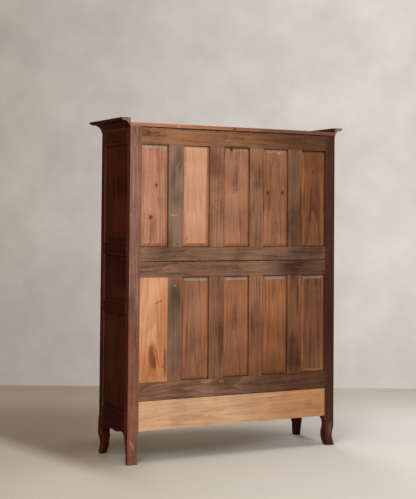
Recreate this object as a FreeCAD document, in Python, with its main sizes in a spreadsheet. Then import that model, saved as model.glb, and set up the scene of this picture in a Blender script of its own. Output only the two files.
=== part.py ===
"""Two-door panelled armoire with a framed back, cabriole feet and a crown cornice.

Millimetres, +Z up, origin on the floor under the middle of the overall box.
The doors face -Y, the framed back faces +Y.  Left and right are those of
someone who stands in front of the doors, so left is -X.
"""
import FreeCAD, Part
import os
import re
import Sketcher

V = FreeCAD.Vector
LEFT = -1
RIGHT = 1
SIDES = (("left", LEFT), ("right", RIGHT))

# ---------------------------------------------------------------- sizes

DRIVING = {
    # overall
    "overall_height": 2150,
    "carcass_width": 1530,
    "carcass_depth": 460,
    "cornice_projection": 62,
    "cornice_rise": 28,
    "cornice_drop": 21,
    "roof_thickness": 23,
    # corner posts
    "back_post_width": 74,
    "back_post_depth": 55,
    "front_post_width": 60,
    "front_post_depth": 70,
    "corner_round": 14,
    # legs
    "leg_top": 235,
    "knee_height": 140,
    "knee_proud": 4,
    "neck_height": 146,
    "neck_hollow": 18,
    "calf_height": 108,
    "ankle_height": 67,
    "ankle_inset": 16,
    "ankle_side_inset": 6,
    "ankle_narrowing": 10,
    "toe_inset": 5,
    "toe_lip": 6,
    "foot_depth": 40,
    "foot_narrowing": 22,
    "rear_leg_taper": 30,
    "rear_leg_narrowing": 9,
    "rear_step_height": 180,
    "rear_neck_hollow": 6,
    "rear_belly_height": 65,
    "rear_belly_proud": 16,
    "rear_foot_inset": 7,
    "rear_ankle_height": 78,
    "rear_ankle_inset": 13,
    "rear_toe_sweep": 4,
    "rear_foot_narrowing": 22,
    "sawing_slack": 30,
    # joinery
    "rail_thickness": 28,
    "front_rail_thickness": 42,
    "tongue_thickness": 8,
    "tongue_setback": 12,
    "groove_depth": 11,
    "panel_float": 2,
    "tenon_length": 30,
    "tenon_shoulder": 12,
    "front_tenon_thickness": 12,
    "front_tenon_setback": 15,
    "peg_width": 8,
    "peg_length": 42,
    "front_peg_length": 30,
    "peg_inset": 17,
    # fielded panels
    "field_bevel": 24,
    "field_recess": 4,
    "bevel_gap": 2,
    "new_panel_recess": 2,
    # back, from the floor up
    "base_board_low": 202,
    "base_board_height": 184,
    "base_board_thickness": 22,
    "board_gap": 2,
    "back_bottom_rail_height": 112,
    "back_lower_opening": 654,
    "back_middle_lower_height": 98,
    "rail_seam": 2,
    "back_middle_upper_height": 87,
    "back_top_rail_height": 109,
    "muntin_width": 102,
    # sides, from the floor up
    "side_apron_top": 322,
    "side_lower_opening": 596,
    "side_lower_rail_height": 87,
    "side_middle_opening": 280,
    "side_upper_rail_height": 95,
    "side_top_rail_height": 114,
    "apron_low": 172,
    "apron_end_drop": 7,
    "apron_rise": 20,
    "apron_lobe_drop": 10,
    "moulding_width": 9,
    "moulding_depth": 8,
    "moulding_quirk": 1.5,
    # front
    "front_apron_top": 330,
    "front_top_rail_height": 119,
    "mullion_width": 50,
    "mullion_tenon": 20,
    # doors
    "door_thickness": 26,
    "door_gap": 3,
    "stile_width": 86,
    "door_bottom_rail_height": 118,
    "door_top_rail_height": 118,
    "door_cross_rail_height": 86,
    "door_lower_opening": 500,
    "door_middle_opening": 150,
    "door_tenon": 45,
    "door_tongue_setback": 11,
    # hinges
    "hinge_stand_off": 8,
    "barrel_radius": 6.5,
    "knuckle_height": 70,
    "hinge_play": 0.3,
    "pin_radius": 3,
    "pin_play": 0.1,
    "pin_length": 52,
    "finial_height": 22,
    "leaf_thickness": 2.4,
    "leaf_width": 28,
    "hinge_inset": 190,
    # left door's bolts
    "bolt_width": 12,
    "bolt_thickness": 6,
    "bolt_length": 210,
    "bolt_travel": 18,
    "bolt_retreat": 2,
    "bolt_play": 0.3,
    "guide_wall": 3,
    "guide_height": 12,
    "guide_inset": 26,
    "knob_radius": 6,
    "knob_length": 12,
    "bolt_hole_play": 1,
    # lock and key
    "lock_height_above_floor": 1120,
    "case_width": 70,
    "case_height": 100,
    "case_depth": 16,
    "case_wall": 1.5,
    "lock_bolt_height": 24,
    "lock_bolt_thickness": 7,
    "lock_bolt_length": 60,
    "lock_bolt_travel": 14,
    "backset": 43,
    "key_drop": 26,
    "key_shank_radius": 3,
    "key_play": 0.4,
    "key_stand_out": 34,
    "key_bow_radius": 13,
    "key_bow_thickness": 4,
    "key_bit_height": 8,
    "key_bit_length": 8,
    "key_bit_thickness": 2.5,
    "plate_height": 110,
    "plate_width": 34,
    "plate_thickness": 1.6,
    # inside
    "floor_thickness": 20,
    "shelf_thickness": 22,
    "shelf_play": 1.5,
    "cleat_width": 20,
    "cleat_height": 40,
    "board_joint": 0.6,
    "lower_shelf_height": 740,
    "middle_shelf_height": 1150,
    "upper_shelf_height": 1560,
}

LAYOUT = {
    "half_width": "carcass_width/2",
    "back_plane": "(carcass_depth + cornice_projection)/2",
    "front_plane": "back_plane - carcass_depth",
    "post_top": "overall_height - cornice_rise - roof_thickness",
    "back_inner": "half_width - back_post_width",
    "front_inner": "half_width - front_post_width",
    "back_post_front": "back_plane - back_post_depth",
    "front_post_back": "front_plane + front_post_depth",
    "back_inside": "back_plane - rail_thickness",
    "side_inside": "half_width - rail_thickness",
    "tongue_reach": "groove_depth - panel_float",
    # back frame heights
    "base_board_top": "base_board_low + base_board_height",
    "back_bottom_low": "base_board_top + board_gap",
    "back_bottom_top": "back_bottom_low + back_bottom_rail_height",
    "back_middle_low": "back_bottom_top + back_lower_opening",
    "back_seam_low": "back_middle_low + back_middle_lower_height",
    "back_seam_top": "back_seam_low + rail_seam",
    "back_middle_top": "back_seam_top + back_middle_upper_height",
    "back_top_low": "post_top - back_top_rail_height",
    "bay_width": "(2*back_inner - 4*muntin_width)/5",
    # side frame heights
    "side_lower_low": "side_apron_top + side_lower_opening",
    "side_lower_top": "side_lower_low + side_lower_rail_height",
    "side_upper_low": "side_lower_top + side_middle_opening",
    "side_upper_top": "side_upper_low + side_upper_rail_height",
    "side_top_low": "post_top - side_top_rail_height",
    # front frame and doors
    "front_top_low": "post_top - front_top_rail_height",
    "door_low": "front_apron_top + door_gap",
    "door_top": "front_top_low - door_gap",
    "door_inner": "mullion_width/2 + door_gap",
    "door_outer": "front_inner - door_gap",
    "door_back": "front_plane + door_thickness",
    "door_bottom_top": "door_low + door_bottom_rail_height",
    "door_lower_low": "door_bottom_top + door_lower_opening",
    "door_lower_top": "door_lower_low + door_cross_rail_height",
    "door_upper_low": "door_lower_top + door_middle_opening",
    "door_upper_top": "door_upper_low + door_cross_rail_height",
    "door_top_low": "door_top - door_top_rail_height",
    "door_stile_edge": "door_outer - stile_width",
    "door_meeting_edge": "door_inner + stile_width",
    "hinge_x": "front_inner - door_gap/2",
    "hinge_y": "front_plane - hinge_stand_off",
    # bolts and lock
    "bolt_x": "door_inner + stile_width/2",
    "bolt_front": "door_back + bolt_play",
    "bolt_back": "bolt_front + bolt_thickness",
    "key_x": "door_inner + backset",
    "key_z": "lock_height_above_floor - key_drop",
    # inside
    "floor_low": "front_apron_top - floor_thickness",
    "cleat_inner": "side_inside - cleat_width",
}

doc = FreeCAD.newDocument("Armoire")


def fill_sheet(name, cells):
    """Write one spreadsheet: a name and a number or formula for each cell."""
    sheet = doc.addObject("Spreadsheet::Sheet", name)
    for row, (alias, content) in enumerate(cells.items(), start=1):
        sheet.set(f"A{row}", content)
        sheet.setAlias(f"A{row}", alias)
    return sheet


def spelled_out(formula):
    """Point every size named in a formula at the sheet that holds it."""
    def full_name(match):
        word = match.group()
        if word in DRIVING:
            return "Sizes." + word
        if word in LAYOUT:
            return "Layout." + word
        return word
    return re.sub(r"[a-z_]+", full_name, formula)


sizes = fill_sheet("Sizes", {name: str(number) for name, number in DRIVING.items()})
layout = fill_sheet("Layout", {name: "=" + spelled_out(rule) for name, rule in LAYOUT.items()})
doc.recompute()


def mm(name):
    """The present value of one size, for curves whose points are worked out."""
    sheet = sizes if name in DRIVING else layout
    return float(sheet.get(name))


# ---------------------------------------------------------------- helpers

def bind(item, **rules):
    """Tie properties of an object to the sheets; x, y and z place it."""
    for key, rule in rules.items():
        prop = "Placement.Base." + key if key in ("x", "y", "z") else key
        item.setExpression(prop, spelled_out(rule))
    return item


def block(name, x, y, z):
    """A squared block between two planes each way: x, y and z are pairs of formulas."""
    item = doc.addObject("Part::Box", name)
    bind(item, x=x[0], y=y[0], z=z[0])
    bind(item, Length=f"({x[1]}) - ({x[0]})", Width=f"({y[1]}) - ({y[0]})",
         Height=f"({z[1]}) - ({z[0]})")
    return item


def sided(side, low, high):
    """The pair of x planes low..high on the right, or their mirror on the left."""
    if side == RIGHT:
        return (low, high)
    return (f"-({high})", f"-({low})")


def joined(name, parts):
    """One piece fused from overlapping or touching shapes."""
    item = doc.addObject("Part::MultiFuse", name)
    item.Shapes = parts
    return item


def cut(name, base, tools):
    """A base with every tool taken out of it."""
    item = doc.addObject("Part::Cut", name)
    item.Base = base
    item.Tool = tools[0] if len(tools) == 1 else joined(name + "_cutters", tools)
    return item


def group(name, parts):
    """Separate solids that share one node."""
    item = doc.addObject("Part::Compound", name)
    item.Links = parts
    return item


def outline(name, runs, turn, **place):
    """A closed sketch: a run of two points is a line, of three an arc, of more a smooth curve."""
    sketch = doc.addObject("Sketcher::SketchObject", name)
    ends = []
    for run in runs:
        points = [V(a, b, 0) for a, b in run]
        first, last = 1, 2
        if len(points) == 2:
            piece = Part.LineSegment(*points)
        elif len(points) == 3:
            # A sketch's arcs all run anticlockwise.
            chord = points[2] - points[0]
            if chord.cross(points[1] - points[0]).z > 0:
                points.reverse()
                first, last = last, first
            piece = Part.Arc(*points)
        else:
            piece = Part.BSplineCurve()
            piece.interpolate(points)
        sketch.addGeometry(piece, False)
        ends.append((first, last))
    for index, (first, last) in enumerate(ends):
        following = (index + 1) % len(ends)
        sketch.addConstraint(Sketcher.Constraint("Coincident", index, last,
                                                 following, ends[following][0]))
    for index in range(len(ends)):
        sketch.addConstraint(Sketcher.Constraint("Block", index))
    sketch.Placement = FreeCAD.Placement(V(0, 0, 0), turn)
    return bind(sketch, **place)


# A side outline has y across and is swept towards +X, a back outline has x across
# and is swept towards -Y, a plan has x and y and is swept upwards.
SEEN_FROM_SIDE = FreeCAD.Rotation(V(1, 1, 1), 120)
SEEN_FROM_BACK = FreeCAD.Rotation(V(1, 0, 0), 90)
PLAN = FreeCAD.Rotation()


def prism(name, sketch, length):
    """A sketch swept square to its plane."""
    item = doc.addObject("Part::Extrusion", name)
    item.Base = sketch
    item.DirMode = "Normal"
    item.Solid = True
    return bind(item, LengthFwd=length)


def rod(name, radius, length, axis, **place):
    """A round rod along +X, +Y or +Z."""
    item = doc.addObject("Part::Cylinder", name)
    item.Placement = FreeCAD.Placement(V(0, 0, 0), FreeCAD.Rotation(V(0, 0, 1), axis))
    return bind(item, Radius=radius, Height=length, **place)


# A wedge's own Y runs from its first face to its second.  These turns point it outwards.
WEDGE_TURN = {
    "back": FreeCAD.Rotation(),
    "front": FreeCAD.Rotation(V(0, 0, 1), 180),
    "right": FreeCAD.Rotation(V(0, 0, 1), -90),
    "left": FreeCAD.Rotation(V(0, 0, 1), 90),
}


class Frame:
    """One plane of frame-and-panel work, which places pieces by their depth below its face.

    `facing` is where the face looks, `face` its plane, `setback` the depth of the
    grooves, `slip` their width and `thickness` that of the rails.
    """

    def __init__(self, facing, face, setback, slip, thickness):
        self.facing = facing
        self.face = face
        self.sign = "-" if facing in ("back", "right") else "+"
        self.setback = setback
        self.slip = slip
        self.thickness = thickness

    def depth(self, near, far):
        """The pair of planes between two depths below the face."""
        planes = [f"{self.face} {self.sign} ({far})", f"{self.face} {self.sign} ({near})"]
        return tuple(planes if self.sign == "-" else reversed(planes))

    def block(self, name, across, depth, z):
        """A block: its span across, its depths below the face, and its heights."""
        if self.facing in ("back", "front"):
            return block(name, across, self.depth(*depth), z)
        return block(name, self.depth(*depth), across, z)

    def body(self, name, across, z):
        return self.block(name, across, ("0", self.thickness), z)

    def tongue(self, name, across, z):
        """A slip in the plane of the grooves: a groove's cutter, a tenon or a tongue."""
        return self.block(name, across, (self.setback, f"{self.setback} + {self.slip}"), z)

    def taper(self, name, across, z, depth, inset):
        """A block that starts at one depth and narrows by an inset as it reaches another.

        depth is (deep, shallow); a negative inset makes it spread instead.
        """
        width = f"({across[1]}) - ({across[0]})"
        height = f"({z[1]}) - ({z[0]})"
        item = doc.addObject("Part::Wedge", name)
        item.Placement = FreeCAD.Placement(V(0, 0, 0), WEDGE_TURN[self.facing])
        deep_plane = f"{self.face} {self.sign} ({depth[0]})"
        start = across[0] if self.facing in ("back", "left") else across[1]
        if self.facing in ("back", "front"):
            bind(item, x=start, y=deep_plane, z=z[0])
        else:
            bind(item, x=deep_plane, y=start, z=z[0])
        bind(item, Xmin="0", Ymin="0", Zmin="0", Xmax=width, Zmax=height)
        bind(item, Ymax=f"({depth[0]}) - ({depth[1]})")
        bind(item, X2min=inset, Z2min=inset)
        bind(item, X2max=f"{width} - ({inset})", Z2max=f"{height} - ({inset})")
        return item


def widened(pair, extra):
    """A span that reaches further by the same amount at both ends."""
    return (f"{pair[0]} - ({extra})", f"{pair[1]} + ({extra})")


def fielded_panel(frame, name, across, z):
    """A panel with a raised field: a tongue all round, then a bevel up to the field."""
    plate = frame.tongue(name + "_plate", widened(across, "tongue_reach"),
                         widened(z, "tongue_reach"))
    bevel = frame.taper(name + "_bevel", widened(across, "-bevel_gap"), widened(z, "-bevel_gap"),
                        (frame.setback, "field_recess"), "field_bevel")
    return joined(name, [plate, bevel])


def flat_panel(frame, name, across, z, recess):
    """A panel with a plain face: a tongue all round and a flat board on it."""
    plate = frame.tongue(name + "_plate", widened(across, "tongue_reach"),
                         widened(z, "tongue_reach"))
    board = frame.block(name + "_board", across, (recess, frame.setback), z)
    return joined(name, [plate, board])


def moulded_edge(frame, name, across, z):
    """The cutter that works a moulding round an opening: a round, then a small square."""
    round_in = "moulding_width*0.15"
    round_out = "moulding_width*0.6"
    deep = "moulding_depth"
    middle = "moulding_depth*0.5"
    lower = frame.taper(name + "_lower", across, z, (deep, middle), f"-{round_in}")
    upper = frame.taper(name + "_upper", widened(across, round_in), widened(z, round_in),
                        (middle, "moulding_quirk"), f"{round_in} - {round_out}")
    square = frame.block(name + "_square", widened(across, "moulding_width"),
                         ("-1", "moulding_quirk"), widened(z, "moulding_width"))
    return joined(name, [lower, upper, square])


def rail(frame, name, across, z, edges, cutters=(), tenon="tenon_length"):
    """A rail between two uprights, tenoned into both and grooved for panels.

    `edges` says which edges are grooved: "low", "high", both or neither.
    """
    body = frame.body(name + "_body", across, z)
    tenons = frame.tongue(name + "_tenons", widened(across, tenon), widened(z, "-tenon_shoulder"))
    tools = list(cutters)
    if "low" in edges:
        tools.append(frame.tongue(name + "_low_groove", across, (z[0], f"{z[0]} + groove_depth")))
    if "high" in edges:
        tools.append(frame.tongue(name + "_high_groove", across, (f"{z[1]} - groove_depth", z[1])))
    if tools:
        return cut(name, joined(name + "_blank", [body, tenons]), tools)
    return joined(name, [body, tenons])


def mortise(frame, name, across, z):
    """The cutter for a rail's tenon, the same size as the tenon."""
    return frame.tongue(name, across, widened(z, "-tenon_shoulder"))


# ---------------------------------------------------------------- frames

back = Frame("back", "back_plane", "tongue_setback", "tongue_thickness", "rail_thickness")
flanks = {side: Frame(name, f"{side}*half_width", "tongue_setback", "tongue_thickness",
                      "rail_thickness") for name, side in SIDES}
front = Frame("front", "front_plane", "front_tenon_setback", "front_tenon_thickness",
              "front_rail_thickness")
leaf = Frame("front", "front_plane", "door_tongue_setback", "tongue_thickness",
             "door_thickness")

BACK_SPAN = ("-back_inner", "back_inner")
FRONT_SPAN = ("-front_inner", "front_inner")
FLANK_SPAN = ("front_post_back", "back_post_front")

BACK_RAILS = {
    "back_bottom_rail": (("back_bottom_low", "back_bottom_top"), "high"),
    "back_middle_rail_lower": (("back_middle_low", "back_seam_low"), "low"),
    "back_middle_rail_upper": (("back_seam_top", "back_middle_top"), "high"),
    "back_top_rail": (("back_top_low", "post_top"), "low"),
}
BACK_ROWS = {
    "lower": ("back_bottom_top", "back_middle_low"),
    "upper": ("back_middle_top", "back_top_low"),
}
FLANK_RAILS = {
    "lower": (("side_lower_low", "side_lower_top"), ("low", "high")),
    "upper": (("side_upper_low", "side_upper_top"), ("low", "high")),
    "top": (("side_top_low", "post_top"), ("low",)),
}
FLANK_OPENINGS = {
    "lower": ("side_apron_top", "side_lower_low"),
    "middle": ("side_lower_top", "side_upper_low"),
    "upper": ("side_upper_top", "side_top_low"),
}
APRON_TENON = "apron_low + apron_rise"
DOOR_RAILS = {
    "bottom_rail": ("door_low", "door_bottom_top"),
    "lower_cross_rail": ("door_lower_low", "door_lower_top"),
    "upper_cross_rail": ("door_upper_low", "door_upper_top"),
    "top_rail": ("door_top_low", "door_top"),
}
DOOR_OPENINGS = {
    "lower": ("door_bottom_top", "door_lower_low"),
    "middle": ("door_lower_top", "door_upper_low"),
    "upper": ("door_upper_top", "door_top_low"),
}

mouldings = {
    side: [moulded_edge(flanks[side], f"{name}_{row}_moulding", FLANK_SPAN, opening)
           for row, opening in FLANK_OPENINGS.items()]
    for name, side in SIDES
}

# ---------------------------------------------------------------- pegs


def peg(frame, name, across, z, length="peg_length"):
    """A square peg driven in from a frame's face."""
    half = "peg_width/2"
    return frame.block(name, widened((across, across), half), ("0", length),
                       widened((z, z), half))


def at_height(z, share):
    """A height part of the way up a rail."""
    return f"({z[0]})*{1 - share} + ({z[1]})*{share}"


back_pegs = {side: [] for name, side in SIDES}
flank_pegs = {side: {"front": [], "back": []} for name, side in SIDES}
front_pegs = {side: [] for name, side in SIDES}
for name, side in SIDES:
    for rail_name, (z, grooved) in BACK_RAILS.items():
        for share in (0.27, 0.73):
            back_pegs[side].append(peg(back, f"{name}_{rail_name}_peg_{int(share * 100)}",
                                       f"{side}*(back_inner + peg_inset)", at_height(z, share)))
    heights = {row: at_height(z, 0.5) for row, (z, grooved) in FLANK_RAILS.items()}
    heights["apron"] = at_height((APRON_TENON, "side_apron_top"), 0.5)
    for row, z in heights.items():
        ends = {"front": "front_post_back - peg_inset", "back": "back_post_front + peg_inset"}
        for end, y in ends.items():
            flank_pegs[side][end].append(peg(flanks[side], f"{name}_{row}_{end}_peg", y, z))
    for row, z in (("apron", (APRON_TENON, "front_apron_top")),
                   ("top", ("front_top_low", "post_top"))):
        front_pegs[side].append(peg(front, f"{name}_front_{row}_peg",
                                    f"{side}*(front_inner + peg_inset)", at_height(z, 0.5),
                                    "front_peg_length"))

every_peg = []
for name, side in SIDES:
    every_peg += back_pegs[side] + front_pegs[side]
    every_peg += flank_pegs[side]["front"] + flank_pegs[side]["back"]
frame_pegs = group("frame_pegs", every_peg)

# ---------------------------------------------------------------- corner posts


def mirrored(side, runs):
    """Runs of (x, z) points as given for the right, or their mirror for the left."""
    return [[(side * x, z) for x, z in run] for run in runs]


def easing(start, end):
    """An arc from one point that runs upright where it reaches the other."""
    run = end[0] - start[0]
    rise = end[1] - start[1]
    radius = (run * run + rise * rise) / (2 * run)
    centre = V(end[0] - radius, end[1], 0)
    spoke = (V(start[0], start[1], 0) - centre).normalize() + V(radius, 0, 0).normalize()
    middle = centre + spoke.normalize() * abs(radius)
    return [start, (middle.x, middle.y), end]


def sway(start, end):
    """Two arcs that run upright at both ends and meet halfway."""
    middle = ((start[0] + end[0]) / 2, (start[1] + end[1]) / 2)
    return [easing(middle, start)[::-1], easing(middle, end)]


def front_leg_side():
    """The cabriole seen from the side: knee, shin and toe in front, hollow and calf behind."""
    plane = mm("front_plane")
    rear = mm("front_post_back")
    top = mm("leg_top")
    knee = (plane - mm("knee_proud"), mm("knee_height"))
    shin = (plane + mm("ankle_inset"), mm("ankle_height"))
    toe = (plane + mm("toe_inset"), mm("toe_lip"))
    heel = (toe[0] + mm("foot_depth"), 0)
    calf = (rear, mm("calf_height"))
    neck = (rear - mm("neck_hollow"), mm("neck_height"))
    apron_end = (rear, mm("apron_low") - mm("apron_end_drop"))
    return (sway((plane, top), knee) + sway(knee, shin)
            + [easing(toe, shin)[::-1], [toe, (toe[0], 0)], [(toe[0], 0), heel],
               easing(heel, calf)]
            + sway(calf, neck)
            + [easing(apron_end, neck)[::-1], [apron_end, (rear, top)],
               [(rear, top), (plane, top)]])


def front_leg_front():
    """The same leg seen from the front: both edges draw in at the ankle."""
    outer = mm("half_width")
    inner = mm("front_inner")
    top = mm("leg_top")
    knee = (outer, mm("knee_height"))
    shin = (outer - mm("ankle_side_inset"), mm("ankle_height"))
    toe = (outer, mm("toe_lip"))
    heel = (inner + mm("foot_narrowing"), 0)
    thin = (inner + mm("ankle_narrowing"), mm("ankle_height"))
    apron_end = (inner, mm("apron_low") - mm("apron_end_drop"))
    return ([[(outer, top), knee]] + sway(knee, shin)
            + [easing(toe, shin)[::-1], [toe, (toe[0], 0)], [(toe[0], 0), heel],
               easing(heel, thin)]
            + sway(thin, apron_end)
            + [[apron_end, (inner, top)], [(inner, top), (outer, top)]])


def rear_leg_side(shaped):
    """A rear leg seen from the side, straight at the back: tapered in front, or shaped."""
    rear = mm("back_plane")
    post = mm("back_post_front")
    low = mm("apron_low")
    top = mm("post_top")
    if shaped:
        neck = (post + mm("rear_neck_hollow"), mm("neck_height"))
        belly = (post - mm("rear_belly_proud"), mm("rear_belly_height"))
        foot = (post + mm("rear_foot_inset"), 0)
        front_edge = [easing((post, low), neck)] + sway(neck, belly) + [easing(foot, belly)[::-1]]
    else:
        foot = (post + mm("rear_leg_taper"), 0)
        front_edge = [[(post, low), (foot[0] - mm("rear_leg_taper") / 3, low * 0.6), foot]]
    return ([[(post, top), (post, low)]] + front_edge
            + [[foot, (rear, 0)], [(rear, 0), (rear, top)], [(rear, top), (post, top)]])


def rear_leg_back(shaped):
    """A rear leg seen from the back: straight outside, or drawn in above a spread toe."""
    outer = mm("half_width")
    inner = mm("back_inner")
    step = mm("rear_step_height")
    end = mm("post_top")
    thin = (inner + mm("rear_leg_narrowing"), mm("apron_low"))
    head = [[thin, (inner, step)], [(inner, step), (inner, end)], [(inner, end), (outer, end)]]
    if not shaped:
        return [[(outer, end), (outer, 0)], [(outer, 0), (thin[0], 0)], [(thin[0], 0), thin]] + head
    knee = (outer, mm("knee_height"))
    shin = (outer - mm("rear_ankle_inset"), mm("rear_ankle_height"))
    toe = (outer + mm("rear_toe_sweep"), mm("toe_lip"))
    heel = (inner + mm("rear_foot_narrowing"), 0)
    return ([[(outer, end), knee]] + sway(knee, shin)
            + [easing(toe, shin)[::-1], [toe, (toe[0], 0)], [(toe[0], 0), heel],
               easing(heel, thin)]
            + head)


def post_blank(name, side, seen_from_side, seen_from_end, width, depth_start, depth):
    """A post sawn from two faces: the part common to its side and end outlines."""
    flank = outline(name + "_side_outline", seen_from_side, SEEN_FROM_SIDE,
                    x=f"{side}*half_width - ({width}) - sawing_slack")
    sawn_side = prism(name + "_side_sawn", flank, f"2*({width}) + 2*sawing_slack")
    end = outline(name + "_end_outline", mirrored(side, seen_from_end), SEEN_FROM_BACK,
                  y=f"{depth_start} + sawing_slack")
    sawn_end = prism(name + "_end_sawn", end, f"{depth} + 2*sawing_slack")
    item = doc.addObject("Part::Common", name + "_blank")
    item.Base = sawn_side
    item.Tool = sawn_end
    return item


def rounded_shaft(name, side):
    """The front post above its leg, with its outer arris rounded."""
    base = block(name + "_square", sided(side, "front_inner", "half_width"),
                 ("front_plane", "front_post_back"), ("leg_top", "post_top"))
    doc.recompute()
    corner = V(side * mm("half_width"), mm("front_plane"), (mm("leg_top") + mm("post_top")) / 2)
    index = min(range(1, len(base.Shape.Edges) + 1),
                key=lambda i: base.Shape.Edges[i - 1].CenterOfMass.distanceToPoint(corner))
    item = doc.addObject("Part::Fillet", name)
    item.Base = base
    item.Edges = [(index, mm("corner_round"), mm("corner_round"))]
    return item


def tenon_span(side):
    """The x span of the front or back rails' tenons inside one post, from outside in."""
    return {"back": sided(side, "back_inner - 1", "back_inner + tenon_length"),
            "front": sided(side, "front_inner - 1", "front_inner + tenon_length")}


for name, side in SIDES:
    flank = flanks[side]
    spans = tenon_span(side)
    post_pegs = back_pegs[side] + flank_pegs[side]["back"]

    # rear post
    shaped = side == LEFT
    blank = post_blank(f"back_post_{name}", side, rear_leg_side(shaped), rear_leg_back(shaped),
                       "back_post_width", "back_plane", "back_post_depth")
    tools = [mortise(back, f"back_post_{name}_{row}_mortise", spans["back"], z)
             for row, (z, grooved) in BACK_RAILS.items()]
    tools.append(back.tongue(f"back_post_{name}_back_groove",
                             sided(side, "back_inner - 1", "back_inner + groove_depth"),
                             ("back_bottom_low + tenon_shoulder", "back_top_low + tenon_shoulder")))
    deep = ("back_post_front - 1", "back_post_front + tenon_length")
    tools += [mortise(flank, f"back_post_{name}_{row}_flank_mortise", deep, z)
              for row, (z, grooved) in FLANK_RAILS.items()]
    tools.append(flank.tongue(f"back_post_{name}_apron_mortise", deep,
                              (APRON_TENON, "side_apron_top - tenon_shoulder")))
    tools.append(flank.tongue(f"back_post_{name}_flank_groove",
                              ("back_post_front - 1", "back_post_front + groove_depth"),
                              ("side_apron_top - groove_depth", "side_top_low + groove_depth")))
    cut(f"back_post_{name}", blank, tools + post_pegs + mouldings[side])

    # front post
    leg = post_blank(f"front_post_{name}", side, front_leg_side(), front_leg_front(),
                     "front_post_width", "front_post_back", "front_post_depth + knee_proud")
    tools = [mortise(front, f"front_post_{name}_top_mortise", spans["front"],
                     ("front_top_low", "post_top")),
             front.tongue(f"front_post_{name}_apron_mortise", spans["front"],
                          (APRON_TENON, "front_apron_top - tenon_shoulder"))]
    deep = ("front_post_back - tenon_length", "front_post_back + 1")
    tools += [mortise(flank, f"front_post_{name}_{row}_flank_mortise", deep, z)
              for row, (z, grooved) in FLANK_RAILS.items()]
    tools.append(flank.tongue(f"front_post_{name}_flank_apron_mortise", deep,
                              (APRON_TENON, "side_apron_top - tenon_shoulder")))
    tools.append(flank.tongue(f"front_post_{name}_flank_groove",
                              ("front_post_back - groove_depth", "front_post_back + 1"),
                              ("side_apron_top - groove_depth", "side_top_low + groove_depth")))
    shaft = rounded_shaft(f"front_post_{name}_shaft", side)
    cut(f"front_post_{name}", joined(f"front_post_{name}_whole", [leg, shaft]),
        tools + front_pegs[side] + flank_pegs[side]["front"] + mouldings[side])

# ---------------------------------------------------------------- back frame

for row, (z, grooved) in BACK_RAILS.items():
    share_pegs = [p for name, side in SIDES for p in back_pegs[side] if f"_{row}_peg" in p.Name]
    rail(back, row, BACK_SPAN, z, grooved, share_pegs)

block("back_base_board", BACK_SPAN, ("back_plane - base_board_thickness", "back_plane"),
      ("base_board_low", "base_board_top"))

for row, z in BACK_ROWS.items():
    muntins = []
    for index in range(4):
        low = f"-back_inner + bay_width*{index + 1} + muntin_width*{index}"
        across = (low, f"{low} + muntin_width")
        title = f"{row}_muntin_{index + 1}"
        body = back.body(title + "_body", across, z)
        stub = back.tongue(title + "_stub", widened(across, "-groove_depth"),
                           widened(z, "groove_depth"))
        grooves = [back.tongue(title + "_groove_a", (low, f"{low} + groove_depth"), z),
                   back.tongue(title + "_groove_b", (f"{across[1]} - groove_depth", across[1]), z)]
        muntins.append(cut(title, joined(title + "_blank", [body, stub]), grooves))
    group(f"{row}_muntins_set", muntins)
    for index in range(5):
        low = f"-back_inner + (bay_width + muntin_width)*{index}"
        across = (low, f"{low} + bay_width")
        title = f"back_panel_{row}_{index + 1}"
        if row == "lower" and index == 4:
            flat_panel(back, title, across, z, "new_panel_recess")
        else:
            fielded_panel(back, title, across, z)
group("back_muntins", [doc.getObject("lower_muntins_set"), doc.getObject("upper_muntins_set")])

# ---------------------------------------------------------------- side frames


def flank_apron_outline():
    """A side apron seen from the side: two arches with a lobe between them."""
    front_end = mm("front_post_back")
    back_end = mm("back_post_front")
    length = back_end - front_end
    low = mm("apron_low")
    crest = low + mm("apron_rise")
    top = mm("side_apron_top")

    def at(share, height):
        return (back_end - length * share, height)
    rear_arch = [at(0, low), at(0.09, crest), at(0.2, crest - 1)]
    lobe = [at(0.2, crest - 1), at(0.37, crest - mm("apron_lobe_drop")), at(0.54, crest - 3)]
    front_arch = [at(0.54, crest - 3), at(0.72, crest - 12), at(1, low - mm("apron_end_drop"))]
    return [rear_arch, lobe, front_arch, [front_arch[-1], (front_end, top)],
            [(front_end, top), (back_end, top)], [(back_end, top), rear_arch[0]]]


for name, side in SIDES:
    flank = flanks[side]
    pegs_here = flank_pegs[side]["front"] + flank_pegs[side]["back"]
    rails = []
    for row, (z, grooved) in FLANK_RAILS.items():
        near = [p for p in pegs_here if f"{name}_{row}_" in p.Name]
        rails.append(rail(flank, f"side_{row}_rail_{name}", FLANK_SPAN, z, grooved,
                          near + mouldings[side]))
    group(f"side_rails_{name}", rails)
    near = [p for p in pegs_here if f"{name}_apron_" in p.Name]
    x = sided(side, "side_inside", "half_width")
    sawn = prism(f"side_apron_{name}_sawn",
                 outline(f"side_apron_{name}_outline", flank_apron_outline(), SEEN_FROM_SIDE,
                         x=x[0]), "rail_thickness")
    tenon = flank.tongue(f"side_apron_{name}_tenon", widened(FLANK_SPAN, "tenon_length"),
                         (APRON_TENON, "side_apron_top - tenon_shoulder"))
    groove = flank.tongue(f"side_apron_{name}_groove", FLANK_SPAN,
                          ("side_apron_top - groove_depth", "side_apron_top"))
    cut(f"side_apron_rail_{name}", joined(f"side_apron_{name}_blank", [sawn, tenon]),
        [groove] + near + mouldings[side])
    group(f"side_panels_{name}", [
        fielded_panel(flank, f"side_{row}_panel_{name}", FLANK_SPAN, z)
        for row, z in FLANK_OPENINGS.items()])

# ---------------------------------------------------------------- front frame


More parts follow.
